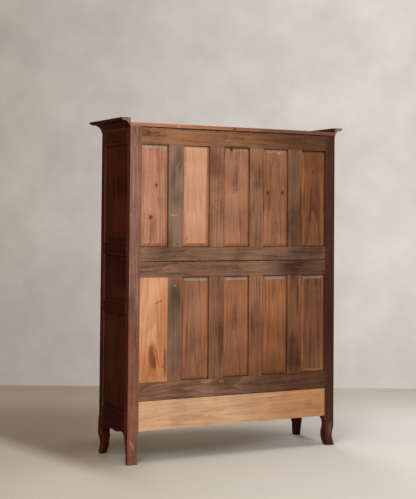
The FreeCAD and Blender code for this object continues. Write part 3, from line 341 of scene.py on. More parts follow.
@dataclass(frozen=True)
class Timber:
    """Sawn wood: growth rings cut along a leaning log, fibre streaks, blotches, knots and marks.

    Lengths are millimetres. The shares say how much each pattern moves the tone between the dark
    and the light version of the colour, and `depth` how far apart those are.
    """

    name: str
    colour: str
    lay: Lay
    depth: float = 1.0
    heart: tuple[float, float, float] = (0, 160, 1000)
    lean: float = 1.5
    ring: float = 16
    rings: float = 0.2
    streaks: float = 0.8
    blotches: float = 0.5
    wander: float = 4
    rough: float = 0.72
    shine: float = 0.25
    relief: float = 0.6
    corner_shade_and_dirt: float = 0.75
    edge_wear_and_highlight: str = ""
    knots: tuple[Knot, ...] = ()
    marks: tuple[Mark, ...] = ()
    facets: tuple[Facet, ...] = ()

    def build(self) -> bpy.types.Material:
        """Makes the material.

        Returns:
            The finished material.
        """
        tree = Tree(bpy.data.materials.new(self.name))
        place = tree.add("TexCoord").outputs["Object"]
        tone, streak = self.figure(tree, place)
        colour = self.shade(tree, tone)
        # marks have frayed outlines, and dust lies in specks some 15 mm wide
        fray = tree.add("TexNoise", {"Vector": place, "Scale": 70, "Detail": 3})
        start = tree.add("VectorMath", {0: place, 1: [FRAY] * 3}, operation="SUBTRACT")
        frayed = tree.add("VectorMath", {
            0: fray.outputs[1], 1: [2 * FRAY] * 3, 2: start.outputs[0],
        }, operation="MULTIPLY_ADD").outputs[0]
        specks = tree.add("TexNoise", {"Vector": place, "Scale": 22, "Detail": 5, "Roughness": 0.7})
        grit = tree.add("MapRange", {
            "Value": specks.outputs[0],
            "From Min": 0.3,
            "From Max": 0.62,
        }).outputs[0]
        for facet in self.facets:
            colour = facet.paint(tree, grit, tone, colour)
        for mark in [mark for knot in self.knots for mark in knot.marks()] + list(self.marks):
            colour = mark.paint(tree, frayed, colour)
        # lighter arrises: wear on the bare walnut, a painted highlight on the waxed walnut
        if self.edge_wear_and_highlight:
            colour = self.paint_edge_wear_and_highlight(tree, colour)
        colour = self.paint_corner_shade_and_dirt(tree, colour)
        rough = tree.add("MapRange", {
            "Value": streak,
            "From Min": 0.3,
            "From Max": 0.7,
            "To Min": self.rough + 0.06,
            "To Max": self.rough - 0.06,
        })
        bump = tree.add("Bump", {"Height": tone, "Strength": 0.6, "Distance": self.relief * MM})
        shader = tree.add("BsdfPrincipled", {
            "Base Color": colour,
            "Roughness": rough.outputs[0],
            "IOR": 1.5,
            "Specular IOR Level": self.shine,
            "Normal": bump.outputs[0],
        })
        return tree.close(shader)

    def figure(self, tree: Tree, place: Socket) -> tuple[Socket, Socket]:
        """Draws the grain.

        Args:
            tree: The material's nodes.
            place: The object coordinates.

        Returns:
            The tone from 0 to 1, and the fibre streaks alone.
        """
        base, lean = self.lay.value
        turn = [math.radians(b + self.lean * k) for b, k in zip(base, lean)]
        log_frame = tree.add("Mapping", {
            "Vector": place,
            "Location": [c * MM for c in self.heart],
            "Rotation": turn,
        }, vector_type="TEXTURE").outputs[0]
        # fibres run 20 times as long as they are wide
        fibre = tree.add("VectorMath", {0: log_frame, 1: (1, 1, 0.05)}, operation="MULTIPLY").outputs[0]
        # and wander slowly from side to side
        slow = tree.add("VectorMath", {0: log_frame, 1: (1, 1, 0.25)}, operation="MULTIPLY").outputs[0]
        wander = tree.add("TexNoise", {"Vector": slow, "Scale": 9, "Detail": 2})
        swing = self.wander * 4 * MM
        bent = tree.add("VectorMath", {
            0: wander.outputs[1], 1: (swing, swing, 0), 2: log_frame,
        }, operation="MULTIPLY_ADD")
        line = bent.outputs[0]
        for knot in self.knots:
            push = tree.add("CombineXYZ", {0: knot.bulge(tree, place)})
            line = tree.add("VectorMath", {0: line, 1: push.outputs[0]}, operation="ADD").outputs[0]
        rings = tree.add("TexWave", {
            "Vector": line,
            "Scale": WAVE_RING / self.ring,
            "Distortion": 0.6,
            "Detail": 2,
            "Detail Scale": 1.5,
        }, wave_type="RINGS", rings_direction="Z", wave_profile="SAW").outputs[1]
        # streaks 13 mm wide, drawn coarser than real fibres so that they show
        streak = tree.add("TexNoise", {
            "Vector": fibre, "Scale": 60, "Detail": 5, "Roughness": 0.7,
        }).outputs[0]
        blotch = tree.add("TexNoise", {
            "Vector": place, "Scale": 3.4, "Detail": 4, "Roughness": 0.6,
        }).outputs[0]
        # the patterns are added round a middle tone of a half
        tone = 0.5 - (self.rings + self.streaks * 2 + self.blotches * 2) / 2
        for pattern, share in ((rings, self.rings), (streak, self.streaks * 2), (blotch, self.blotches * 2)):
            tone = tree.add("Math", {0: pattern, 1: share, 2: tone}, operation="MULTIPLY_ADD").outputs[0]
        return tone, streak

    def shade(self, tree: Tree, tone: Socket) -> Socket:
        """Turns the tone into colour: dark at 0, the board's own colour at a half, light at 1.

        Args:
            tree: The material's nodes.
            tone: The wood's tone from 0 to 1.

        Returns:
            The colour.
        """
        low = tree.add("MapRange", {"Value": tone, "From Min": 0.0, "From Max": 0.5})
        high = tree.add("MapRange", {"Value": tone, "From Min": 0.5, "From Max": 1.0})
        dark = toned(self.colour, [1 - self.depth * fall for fall in FALL])
        light = toned(self.colour, [1 + self.depth * rise for rise in RISE])
        below = tree.add("Mix", {0: low.outputs[0], 6: dark, 7: linear(self.colour)}, data_type="RGBA")
        above = tree.add("Mix", {0: high.outputs[0], 6: below.outputs[2], 7: light}, data_type="RGBA")
        return above.outputs[2]

    def paint_corner_shade_and_dirt(self, tree: Tree, under: Socket) -> Socket:
        """Darkens seams and corners with painted shade, and with the dirt that stays there.

        Args:
            tree: The material's nodes.
            under: The colour below.

        Returns:
            The colour with its corners darkened by painted shade and dirt.
        """
        # painted shade with dirt: ambient occlusion darkens seams and recesses
        reach = tree.add("AmbientOcclusion", {"Distance": CORNER_SHADE_REACH}, samples=6)
        mask = tree.add("MapRange", {
            "Value": reach.outputs["AO"],
            "From Min": 0.45,
            "From Max": 0.8,
            "To Min": self.corner_shade_and_dirt,
            "To Max": 0.0,
        })
        darkened = tree.add("Mix", {0: mask.outputs[0], 6: under, 7: linear(CORNER_SHADE_AND_DIRT)}, data_type="RGBA")
        return darkened.outputs[2]

    def paint_edge_wear_and_highlight(self, tree: Tree, under: Socket) -> Socket:
        """Lightens the arrises: wear where hands and cloths thin the finish on the bare walnut, and a painted
        highlight along the waxed walnut's edges.

        Args:
            tree: The material's nodes.
            under: The colour below.

        Returns:
            The colour with its edges lightened by wear and painted highlight.
        """
        normal = tree.add("NewGeometry").outputs["Normal"]
        eased = tree.add("Bevel", {"Radius": EDGE_LIGHT_WIDTH}, samples=4).outputs[0]
        same = tree.add("VectorMath", {0: normal, 1: eased}, operation="DOT_PRODUCT")
        mask = tree.add("MapRange", {
            "Value": same.outputs["Value"],
            "From Min": 0.995,
            "From Max": 0.85,
            "To Min": 0.0,
            "To Max": 0.5,
        })
        mix = tree.add("Mix", {0: mask.outputs[0], 6: under, 7: linear(self.edge_wear_and_highlight)}, data_type="RGBA")
        return mix.outputs[2]


@dataclass(frozen=True)
class Metal:
    """Old metal: a hammered or sheet surface with darker patina in patches.

    Millimetres: `dent` is how deep the hammer marks are, `pit` how far apart, and `patch` the
    width of a patch of patina.
    """

    name: str
    bright: str
    patina: str
    metallic: float
    rough: float
    dent: float
    patch: float = 18
    pit: float = 12

    @cache
    def build(self) -> bpy.types.Material:
        """Makes the material once, however many pieces wear it.

        Returns:
            The finished material.
        """
        tree = Tree(bpy.data.materials.new(self.name))
        place = tree.add("TexCoord").outputs["Object"]
        patches = tree.add("TexNoise", {
            "Vector": place, "Scale": 1000 / self.patch, "Detail": 4, "Roughness": 0.65,
        })
        mask = tree.add("MapRange", {"Value": patches.outputs[0], "From Min": 0.4, "From Max": 0.62})
        colour = tree.add("Mix", {
            0: mask.outputs[0], 6: linear(self.bright), 7: linear(self.patina),
        }, data_type="RGBA")
        rough = tree.add("MapRange", {
            "Value": patches.outputs[0],
            "From Min": 0.3,
            "From Max": 0.7,
            "To Min": self.rough - 0.1,
            "To Max": self.rough + 0.15,
        })
        dents = tree.add("TexVoronoi", {"Vector": place, "Scale": 1000 / self.pit}, feature="SMOOTH_F1")
        bump = tree.add("Bump", {"Height": dents.outputs[0], "Strength": 0.5, "Distance": self.dent * MM})
        shader = tree.add("BsdfPrincipled", {
            "Base Color": colour.outputs[2],
            "Metallic": self.metallic,
            "Roughness": rough.outputs[0],
            "Normal": bump.outputs[0],
        })
        return tree.close(shader)


UP = (0, 0, 1)
DOWN = (0, 0, -1)
TO_RIGHT = (1, 0, 0)
TO_LEFT = (-1, 0, 0)
BACKWARD = (0, 1, 0)
FORWARD = (0, -1, 0)

# wax over dark-stained walnut: almost black-brown, red where light strikes it, a satin sheen, and a painted
# highlight on its arrises
WALNUT = Timber("waxed_walnut", "#36110a", Lay.UP_SIDE, depth=1.2, streaks=1.0, blotches=0.9, rough=0.45,
                shine=0.02, relief=0.3, corner_shade_and_dirt=0.6, edge_wear_and_highlight="#55301f")

# the same wax on the front, where it is rubbed up more often
FRONT_WALNUT = replace(WALNUT, name="polished_walnut", lay=Lay.UP_BACK, colour="#3a140a", shine=0.1,
                       rough=0.36)

# bare walnut on the posts' backs: rubbed, dusty, with a purple cast
BARE_WALNUT = Timber("bare_walnut", "#471807", Lay.UP_BACK, depth=1.0, streaks=1.0, blotches=0.5, rough=0.6,
                     shine=0.12, relief=0.5, edge_wear_and_highlight="#8a5a45")

# oak that was never finished: gone grey-brown, with open grain
GREY_OAK = Timber("grey_oak", "#7c5a46", Lay.ACROSS_BACK, depth=1.15, rings=0.3, streaks=0.8, blotches=0.9,
                  rough=0.8, relief=0.9)

# the dark joint between the two middle rails
SEAM = Mark(0, 1253, 3000, 9, JOINT_DIRT_AND_SHADOW, 0.9, core=0.4)

# old pine: orange-brown early wood with darker late wood, dust on the upper bevels
OLD_PINE = Timber("old_pine", "#a06a4a", Lay.UP_BACK, depth=0.9, lean=1.2, rings=0.35, streaks=0.9,
                  blotches=0.9, rough=0.7, corner_shade_and_dirt=0.9,
                  facets=(Facet(DOWN, "#a8673c", 0.9), Facet(TO_LEFT, "#b06c3e", 0.95),
                          Facet(TO_RIGHT, "#a0623a", 0.55)))

# dust on the upper bevels of the panels that have any, and how thick it lies
DUST = Facet(UP, "#a38b7b", 0.95)
DUSTY_PANELS = {
    ("upper", 5): 0.75, ("upper", 3): 0.4, ("upper", 2): 0.5,
    ("lower", 4): 0.95, ("lower", 3): 0.95, ("lower", 2): 0.9, ("lower", 1): 0.7,
}

# planed newer pine: clean and golden
NEW_PINE = Timber("new_pine", "#c8946a", Lay.ACROSS_BACK, depth=0.7, rings=0.25, streaks=0.7,
                  blotches=0.7, rough=0.62, corner_shade_and_dirt=0.6)

# plain oak inside the cupboard, dry and even
INNER_OAK = Timber("inner_oak", "#86664a", Lay.ACROSS_FLAT, depth=0.5, rings=0.3, streaks=0.7,
                   blotches=0.5, rough=0.7, corner_shade_and_dirt=0.4)

# forged iron: black scale with brown rust bloom
IRON = Metal("forged_iron", "#3a3432", "#2a1d17", metallic=0.75, rough=0.5, dent=0.5)

# sheet brass, dulled brown
BRASS = Metal("aged_brass", "#a8854a", "#5f4525", metallic=1.0, rough=0.38, dent=0.15, patch=26)


# ---------------------------------------------------------------- helpers


def dress(name: str, finish: bpy.types.Material, ease: float = 0.0) -> bpy.types.Object:
    """Gives a node of the frame its finish.

    Args:
        name: The node's name.
        finish: The material.
        ease: How far its edges are eased, in millimetres.

    Returns:
        The node's object.
    """
    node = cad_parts[name]
    for holder in node.material_slots:
        holder.material = finish
    if not node.material_slots:
        node.data.materials.append(finish)
    if ease:
        weld = node.modifiers.new("weld", "WELD")
        weld.merge_threshold = WELD_REACH
        bevel = node.modifiers.new("eased_edges", "BEVEL")
        bevel.width = ease * MM
        bevel.segments = 2
        bevel.limit_method = "ANGLE"
        bevel.angle_limit = math.radians(ARRIS_ANGLE)
        bevel.harden_normals = False
    log.info("dressed %s in %s", name, finish.name)
    return node


def rounded(node: bpy.types.Object, angle: float = 40.0) -> bpy.types.Object:
    """Shades a turned or forged node smooth, and leaves its arrises sharp.

    Args:
        node: The object.
        angle: Edges that turn by more than this many degrees stay sharp.

    Returns:
        The same object.
    """
    bpy.ops.object.select_all(action="DESELECT")
    node.select_set(True)
    bpy.context.view_layer.objects.active = node
    bpy.ops.mesh.customdata_custom_splitnormals_clear()
    bpy.ops.object.shade_smooth()
    weld = node.modifiers.new("weld", "WELD")
    weld.merge_threshold = WELD_REACH
    split = node.modifiers.new("sharp_arrises", "EDGE_SPLIT")
    split.split_angle = math.radians(angle)
    return node


@dataclass(frozen=True)
class Stud:
    """A domed head of a nail, pin or rivet, in millimetres."""

    radius: float
    rise: float
    sides: int = 16
    # the share of the rise and of the width that each step of the dome takes
    steps: tuple[tuple[float, float], ...] = ((0.4, 0.94), (0.3, 0.82), (0.2, 0.68), (0.1, 0.5))

    def head(self, place: tuple[float, float, float], turn: tuple[float, float, float]) -> bpy.types.Object:
        """Models one head.

        Args:
            place: The middle of its seat, in metres.
            turn: Its rotation in degrees; unturned it faces up.

        Returns:
            The new object.
        """
        bpy.ops.object.select_all(action="DESELECT")
        bpy.ops.mesh.primitive_circle_add(vertices=self.sides, radius=self.radius * MM, fill_type="NGON")
        item = bpy.context.object
        bpy.ops.object.mode_set(mode="EDIT")
        bpy.ops.mesh.select_all(action="SELECT")
        for rise, share in self.steps:
            bpy.ops.mesh.extrude_region_move(TRANSFORM_OT_translate={"value": (0, 0, self.rise * rise * MM)})
            bpy.ops.transform.resize(value=(share, share, 1))
        bpy.ops.mesh.select_all(action="SELECT")
        bpy.ops.mesh.normals_make_consistent(inside=False)
        bpy.ops.object.mode_set(mode="OBJECT")
        item.location = place
        item.rotation_euler = [math.radians(angle) for angle in turn]
        return item

    def row(self, name: str, places: list[tuple[float, float, float]], turn: tuple[float, float, float],
            finish: bpy.types.Material, body: str, slot: str) -> bpy.types.Object:
        """Models several heads as one piece that rides on a body.

        Args:
            name: The piece's name.
            places: Where the heads sit, in metres.
            turn: The rotation of each, in degrees.
            finish: The material.
            body: The body it rides on.
            slot: A material slot's name; not used.

        Returns:
            The piece.
        """
        heads = [self.head(place, turn) for place in places]
        bpy.ops.object.select_all(action="DESELECT")
        for head in heads:
            head.select_set(True)
        bpy.context.view_layer.objects.active = heads[0]
        if len(heads) > 1:
            bpy.ops.object.join()
        piece = rounded(bpy.context.view_layer.objects.active)
        piece.name = name
        piece.data.name = name
        piece.data.materials.append(finish)
        bpy.ops.object.transform_apply(location=True, rotation=True, scale=True)
        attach(piece, body)
        log.info("added %s with %d heads", name, len(heads))
        return piece


# ---------------------------------------------------------------- sub-assemblies


@dataclass
class FramedBack:
    """The framed back: two posts, five rails, eight muntins, ten panels and the base board."""

    ease: float = 1.5
    bay: float = 297
    middle_bay: int = 3
    upper_middle: float = 1700
    lower_middle: float = 800

    def build(self) -> None:
        """Dresses the back."""
        self.posts()
        self.rails()
        self.muntins()
        self.panels()
        dress("back_base_board", self.base_board(), self.ease)
        dress("frame_pegs", self.pegs())

    def pegs(self) -> bpy.types.Material:
        """The pegs of the whole frame: bare at the back, waxed like the sides and the front elsewhere.

        Returns:
            Their material.
        """
        waxed = Facet(TO_RIGHT, "#2c110a", 1.0, even=1)
        pegs = replace(BARE_WALNUT, name="peg_walnut", colour="#6a483a", corner_shade_and_dirt=0.5,
                       marks=(Mark(705, 1210, 14, 16, "#2a1610", 0.9, core=0.8),
                              # painted shade: this wash darkens the pegs in the far post
                              wash(-720, 1200, 120, 4000, "#95867c", 0.9, 0.9)),
                       facets=(waxed, replace(waxed, towards=TO_LEFT),
                               replace(waxed, towards=FORWARD, colour="#3a160b")))
        return pegs.build()

    def posts(self) -> None:
        """The corner posts: dusty at the near side; the far one darker, partly its own wood and partly
        painted shade.
        """
        # dust on the near post's back
        back_face_tint = Facet(BACKWARD, "#90685a", 0.95, start=0.4, full=0.75, even=0.75, grain=0.75)
        near_marks = (wash(740, 300, 500, 1400, "#f4dcc2", 0.9, 0.7),
                wash(740, 880, 80, 460, "#e8dedc", 0.9, 0.6),
                wash(740, 2020, 300, 400, "#eff0e8"),
                wash(740, 1600, 300, 600, "#f7faf7"),
                # a painted highlight on the curve of the foot
                Mark(739, 126, 22, 90, "#b58a76", 0.55, turn=24, y=261, deep=24),
                Mark(698, 1250, 7, 1100, "#6b2c1e", 0.6, core=0.6))
        near = replace(BARE_WALNUT, name="dusty_post_walnut", facets=(back_face_tint,), heart=(760, 190, 900),
                       marks=near_marks)
        # the far post's darker back is partly its own wood and partly painted shade of the light falling off
        # towards it
        far = replace(BARE_WALNUT, name="far_post_walnut_painted_shade", heart=(-760, 190, 900),
                      facets=(replace(back_face_tint, colour="#4a2c1f", grain=0.5),),
                      marks=(Mark(-735, 110, 36, 130, "#7a5c42", 0.6, turn=-8, y=261, deep=60),
                             wash(-740, 880, 500, 900, "#eae2d1")))
        dress("back_post_right", near.build(), self.ease)
        dress("back_post_left", far.build(), self.ease)

    def rails(self) -> None:
        """The rails, each cut from a board of its own."""
        oak = replace(GREY_OAK, ring=14)
        top = replace(oak, name="top_rail_oak", colour="#855c3d", heart=(0, 170, 2046), marks=(
            Mark(643, 2058, 60, 50, "#4a2f20", 0.7),
            Mark(539, 2044, 90, 26, "#553624", 0.6),
            Mark(-330, 2046, 180, 12, "#4a3020", 0.6),
            # painted shade: this wash darkens the far end, where the light falls off
            wash(-620, 2040, 1500, 900, "#a8947f", 0.95, 0.15),
            Mark(70, 2035, 90, 3, "#c9b8a8", 0.35, turn=52),
            # a painted shadow under the roof boards, along the rail's top edge
            Mark(0, 2098, 3000, 20, JOINT_DIRT_AND_SHADOW, 0.95, core=0.6),
        ))
        upper = replace(oak, name="upper_rail_oak", colour="#856451", heart=(200, 190, 1300), marks=(
            # painted shade: this wash darkens the far end, where the light falls off
            wash(-680, 1298, 1000, 900, "#c4b8aa", 0.95, 0.15),
            wash(60, 1298, 1150, 900, "#ede5d4"),
            Mark(-5, 1310, 16, 9, "#2c1a12", 0.8),
            Mark(441, 1299, 10, 10, "#2a1c16", 0.9),
            SEAM,
        ))
        lower = replace(oak, name="lower_rail_oak", colour="#83614b", heart=(-300, 180, 1203), marks=(
            # painted shade: this wash darkens the far end, where the light falls off
            wash(-680, 1203, 1300, 900, "#bca898", 0.95, 0.15),
            wash(140, 1203, 900, 900, "#ece6de", core=0.4),
            Mark(560, 1195, 260, 20, "#5a3c2b", 0.5, turn=4),
            Mark(160, 1220, 120, 12, "#5a3c2b", 0.4, turn=-6),
            SEAM,
        ))
        bottom = replace(oak, name="bottom_rail_oak", colour="#835f48", heart=(100, 175, 430), depth=1.0,
                         wander=14, rings=0.5, marks=(
                             # painted shade: this wash darkens the far end, where the light falls off
                             wash(-640, 445, 1700, 900, "#a38a72", 0.95, 0.15),
                             Mark(420, 462, 380, 26, "#4a3024", 0.55, turn=3),
                             Mark(-120, 446, 300, 18, "#453026", 0.55, turn=-5),
                             Mark(-480, 452, 260, 22, "#38251b", 0.6, turn=2),
                             Mark(0, 388, 3000, 9, JOINT_DIRT_AND_SHADOW, 0.85, core=0.3),
                         ))
        dress("back_top_rail", top.build(), self.ease)
        dress("back_middle_rail_upper", upper.build(), self.ease)
        dress("back_middle_rail_lower", lower.build(), self.ease)
        dress("back_bottom_rail", bottom.build(), self.ease)

    def muntins(self) -> None:
        """The uprights between the panels, each stained in its own way, the one at -445 also darkened by
        painted shade.
        """
        marks = (
            Mark(445, 1690, 150, 900, "#7c6e62", 0.45, core=0.7),
            Mark(425, 1900, 90, 300, "#43352c", 0.65, core=0.0),
            Mark(465, 1790, 60, 260, "#3c2e26", 0.65, core=0.0),
            Mark(445, 1640, 120, 160, "#4c3c31", 0.5, core=0.0),
            Mark(455, 1546, 84, 9, "#b9ab9c", 0.6),
            Mark(432, 1860, 90, 6, "#b0a294", 0.4, turn=62),
            Mark(430, 1440, 60, 170, "#95806c", 0.3),
            Mark(445, 800, 150, 800, "#68594b", 0.35, core=0.7),
            Mark(445, 1040, 130, 320, "#382820", 0.65, core=0.1),
            Mark(448, 1100, 36, 5, "#c4b5a4", 0.6, turn=32),
            Mark(448, 1100, 40, 5, "#c4b5a4", 0.6, turn=-30),
            Mark(158, 1622, 48, 5, "#b9a592", 0.55, turn=6),
            Mark(150, 1598, 52, 5, "#b9a592", 0.5, turn=-58),
            Mark(160, 1570, 40, 5, "#b9a592", 0.5, turn=20),
            Mark(170, 1850, 30, 220, "#5a3c2b", 0.45),
            wash(148, 820, 150, 1100, "#e5dfdb", core=0.7),
            Mark(118, 700, 28, 420, "#3c281e", 0.6),
            Mark(-148, 1900, 110, 200, "#9c6a42", 0.35),
            wash(-148, 700, 150, 740, "#d8c6b6", 0.9, 0.6),
            Mark(-440, 1604, 40, 5, "#ab9482", 0.5, turn=24),
            Mark(-448, 1588, 30, 5, "#ab9482", 0.5, turn=-40),
            wash(-445, 1930, 150, 300, "#eceff3"),
            # painted shade: the washes on the muntin at -445 darken it towards the side where the light falls
            # off
            wash(-445, 1665, 150, 900, "#d0cac6", 0.9, 0.7),
            Mark(-470, 1010, 24, 300, "#3a261b", 0.6),
            Mark(-425, 660, 30, 260, "#4a3020", 0.5),
            wash(-445, 800, 150, 900, "#dccabc", 0.9, 0.7),
            wash(-445, 600, 150, 400, "#d8c8b8", 0.9, 0.6),
        )
        oak = replace(GREY_OAK, name="muntin_oak", lay=Lay.UP_BACK, colour="#8a6045", heart=(0, 60, 1300),
                      ring=13, marks=marks)
        dress("back_muntins", oak.build(), self.ease)

    def panels(self) -> None:
        """The panels, each with its own heart, colour, knots and marks."""
        for row, height, boards in (("upper", self.upper_middle, self.upper_boards()),
                                    ("lower", self.lower_middle, self.lower_boards())):
            for bay, board in boards.items():
                x = (bay - self.middle_bay) * self.bay
                facets = board.facets
                if (row, bay) in DUSTY_PANELS:
                    facets += (replace(DUST, strength=DUSTY_PANELS[row, bay]),)
                # each log's heart lies at another depth, so that no two boards are figured alike
                pine = replace(board, name=f"old_pine_{row}_{bay}", heart=(x + 20, 150 + 12 * bay, height),
                               facets=facets)
                dress(f"back_panel_{row}_{bay}", pine.build(), self.ease)
        dress("back_panel_lower_5", self.new_panel(), self.ease)

    def upper_boards(self) -> dict[int, Timber]:
        """The boards of the upper panels.

        Returns:
            Each bay's board.
        """
        return {
            5: replace(
                OLD_PINE, colour="#aa775c", rings=0.45,
                knots=(Knot(621, 1531, 30, eye="#4a3230"), Knot(583, 1734, 20, eye="#5a3824")),
                marks=(Mark(610, 1470, 60, 120, "#8a4f34", 0.45), Mark(560, 1850, 30, 260, "#935c42", 0.4))),
            4: replace(
                OLD_PINE, colour="#c6916f", rings=0.2, depth=0.5,
                marks=(Mark(366, 1395, 26, 26, "#7d4a2c", 0.6),
                       wash(297, 1340, 500, 420, "#eae5e1", core=0.2))),
            3: replace(
                OLD_PINE, colour="#9d6c50",
                knots=(Knot(41, 1975, 26, eye="#2d1a12"), Knot(0, 1712, 12))),
            2: replace(
                OLD_PINE, colour="#9b6949", rings=0.4,
                knots=(Knot(-237, 1697, 28, eye="#43302c"), Knot(-350, 1701, 26, eye="#43302c")),
                marks=(Mark(-323, 1962, 22, 26, "#d8a988", 0.7), Mark(-240, 1640, 60, 160, "#7a4f34", 0.4),
                       wash(-297, 1960, 500, 340, "#edf0f3"), wash(-297, 1690, 500, 360, "#ddd7ce"))),
            1: replace(
                OLD_PINE, colour="#7d4c2c", rings=0.7, ring=22, wander=10, knots=(Knot(-591, 1844, 14),),
                marks=(wash(-594, 1960, 500, 320, "#dddad8"), wash(-594, 1420, 500, 320, "#eaecf3"))),
        }

    def lower_boards(self) -> dict[int, Timber]:
        """The boards of the lower panels, without the newer one.

        Returns:
            Each bay's board.
        """
        return {
            4: replace(
                OLD_PINE, colour="#936246",
                marks=(wash(297, 540, 500, 320, "#f1f1ec"), Mark(340, 793, 9, 9, "#2a1c16", 0.9))),
            3: replace(OLD_PINE, colour="#946243", marks=(wash(0, 560, 500, 380, "#e5dfda"),)),
            2: replace(
                OLD_PINE, colour="#9e6640",
                marks=(wash(-297, 660, 500, 700, "#dfd8d1", core=0.45),
                       wash(-297, 520, 500, 360, "#dddddf", core=0.3))),
            1: replace(
                OLD_PINE, colour="#74482d",
                marks=(Mark(-623, 620, 40, 190, "#5d5a58", 0.4), Mark(-602, 1059, 70, 30, "#6b5a50", 0.45))),
        }

    def new_panel(self) -> bpy.types.Material:
        """The plain newer panel: pale on one side, with dark heartwood and knots on the other.

        Returns:
            Its material.
        """
        knots = (Knot(547, 1004, 13, "#8a4520", "#3a1a10"), Knot(575, 992, 10, "#8a4520", "#4a2414"),
                 Knot(591, 596, 20, "#8a4520", "#4a2010", 20), Knot(530, 596, 11, "#8a4520", "#3a1a10"))
        marks = (
            wash(594, 580, 420, 520, "#ecd7bf", core=0.2),
            Mark(525, 880, 90, 640, "#bd7644", 0.75, core=0.3),
            Mark(566, 860, 20, 420, "#9a5830", 0.5),
            Mark(545, 820, 22, 500, "#b06c3e", 0.5),
            Mark(604, 655, 66, 240, "#a4602f", 0.8, core=0.5),
            Mark(606, 660, 44, 190, "#7c4120", 0.75, core=0.4),
            Mark(585, 620, 34, 130, "#5f2c14", 0.8, core=0.3),
            Mark(596, 560, 60, 110, "#a8622f", 0.6, core=0.3),
            Mark(566, 660, 16, 200, "#7a3e1c", 0.6, turn=12),
            Mark(512, 620, 30, 300, "#66300f", 0.75, core=0.3),
            Mark(540, 590, 26, 300, "#bd7040", 0.6, core=0.4),
            Mark(560, 1000, 44, 30, "#a05a30", 0.4),
        )
        board = replace(NEW_PINE, name="new_panel_pine", lay=Lay.UP_BACK, colour="#cc946c",
                        heart=(620, 170, 700), lean=3, rings=0.4, wander=8, knots=knots, marks=marks)
        return board.build()

    def base_board(self) -> bpy.types.Material:
        """The newer board under the frame, one end paler than the other: the darker end is painted shade.

        Returns:
            Its material.
        """
        marks = (
            # painted shade: this wash darkens the far end, where the light falls off
            wash(-640, 290, 1500, 900, "#dcc8b0", 0.95, 0.15),
            Mark(350, 300, 420, 34, "#ddb594", 0.5, turn=3),
            Mark(-560, 300, 100, 70, "#8f6a4c", 0.4),
        )
        board = replace(NEW_PINE, name="base_board_pine", colour="#d8a981", heart=(0, 120, 260), lean=1.0,
                        ring=22, marks=marks)
        return board.build()


@dataclass
class Flanks:
    """The two sides with the front posts: rails, apron rails and fielded panels."""

    ease: float = 1.5

    def build(self) -> None:
        """Dresses both sides."""
        # the front posts' pale arrises are a painted lilac-grey highlight on their rounded corners
        upright = replace(WALNUT, name="highlit_front_post_walnut", colour="#3d1406", edge_wear_and_highlight="#8a6e66").build()
        level = replace(WALNUT, name="waxed_walnut_level", lay=Lay.DEEP_SIDE, colour="#391403",
                        marks=(wash(0, 950, 4000, 2000, "#ecb3aa", core=0.9),)).build()
        apron = replace(WALNUT, name="waxed_walnut_apron", lay=Lay.DEEP_SIDE, colour="#2b0801").build()
        panel = replace(WALNUT, name="waxed_walnut_panel", ring=20, colour="#3b1404", marks=(
            Mark(0, 560, 4000, 500, "#4a2410", 0.25),
            wash(0, 1230, 4000, 420, "#d4bfad", core=0.6),
        )).build()
        for side in SIDES:
            dress(f"front_post_{side}", upright, self.ease)
            dress(f"side_rails_{side}", level, self.ease)
            dress(f"side_apron_rail_{side}", apron, self.ease)
            dress(f"side_panels_{side}", panel, self.ease)


@dataclass
class Crown:
    """The cornice round three sides and the roof boards inside it, nailed to the top rails."""

    ease: float = 1.0
    nails_across: tuple[float, ...] = (-690, -420, -260, -230, 0, 230, 260, 420, 690)
    nail_inset: float = 30

    def build(self) -> None:
        """Dresses the cornice and the roof."""
        run = replace(WALNUT, name="cornice_walnut_return", lay=Lay.DEEP_SIDE,
                      facets=(Facet(BACKWARD, "#9c7a6c", 0.8, start=0.6, full=0.9),)).build()
        front = replace(WALNUT, name="cornice_walnut_front", lay=Lay.ACROSS_BACK).build()
        for side in SIDES:
            dress(f"cornice_{side}", run, self.ease)
        dress("cornice_front", front, self.ease)
        # the marks stay on the rear edge; the wide wash is painted shade on its far end
        marks = (Mark(-700, 2107, 2100, 400, "#b5afad", 1.0, core=0.2, wash=True, y=261, deep=400),
                 Mark(21, 2107, 34, 30, "#3a2018", 0.85, y=261, deep=80),
                 Mark(427, 2111, 16, 30, "#e0b898", 0.7, y=261, deep=16))
        roof = replace(NEW_PINE, name="roof_pine", colour="#aa7152", heart=(0, 60, 2080),
                       lay=Lay.ACROSS_FLAT, rough=0.75, marks=marks)
        dress("roof_boards", roof.build(), self.ease)
        self.nails()

    def nails(self) -> None:
        """The nails that hold the roof boards to the top rails."""
        low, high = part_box("roof_boards")
        inset = self.nail_inset * MM
        places = [(x * MM, y, high.z) for y in (low.y + inset, high.y - inset) for x in self.nails_across]
        Stud(radius=4.5, rise=1.0).row("roof_nails", places, (0, 0, 0), IRON.build(), "carcass", "iron")


@dataclass
class Front:
    """The fixed frame of the front: top rail, apron rail and the upright between the doors."""

    ease: float = 1.5

    def build(self) -> None:
        """Dresses the front frame."""
        level = replace(FRONT_WALNUT, name="front_rail_walnut", lay=Lay.ACROSS_BACK).build()
        upright = replace(FRONT_WALNUT, name="front_upright_walnut").build()
        dress("front_top_rail", level, self.ease)
        dress("front_apron_rail", level, self.ease)
        dress("centre_mullion", upright, self.ease)


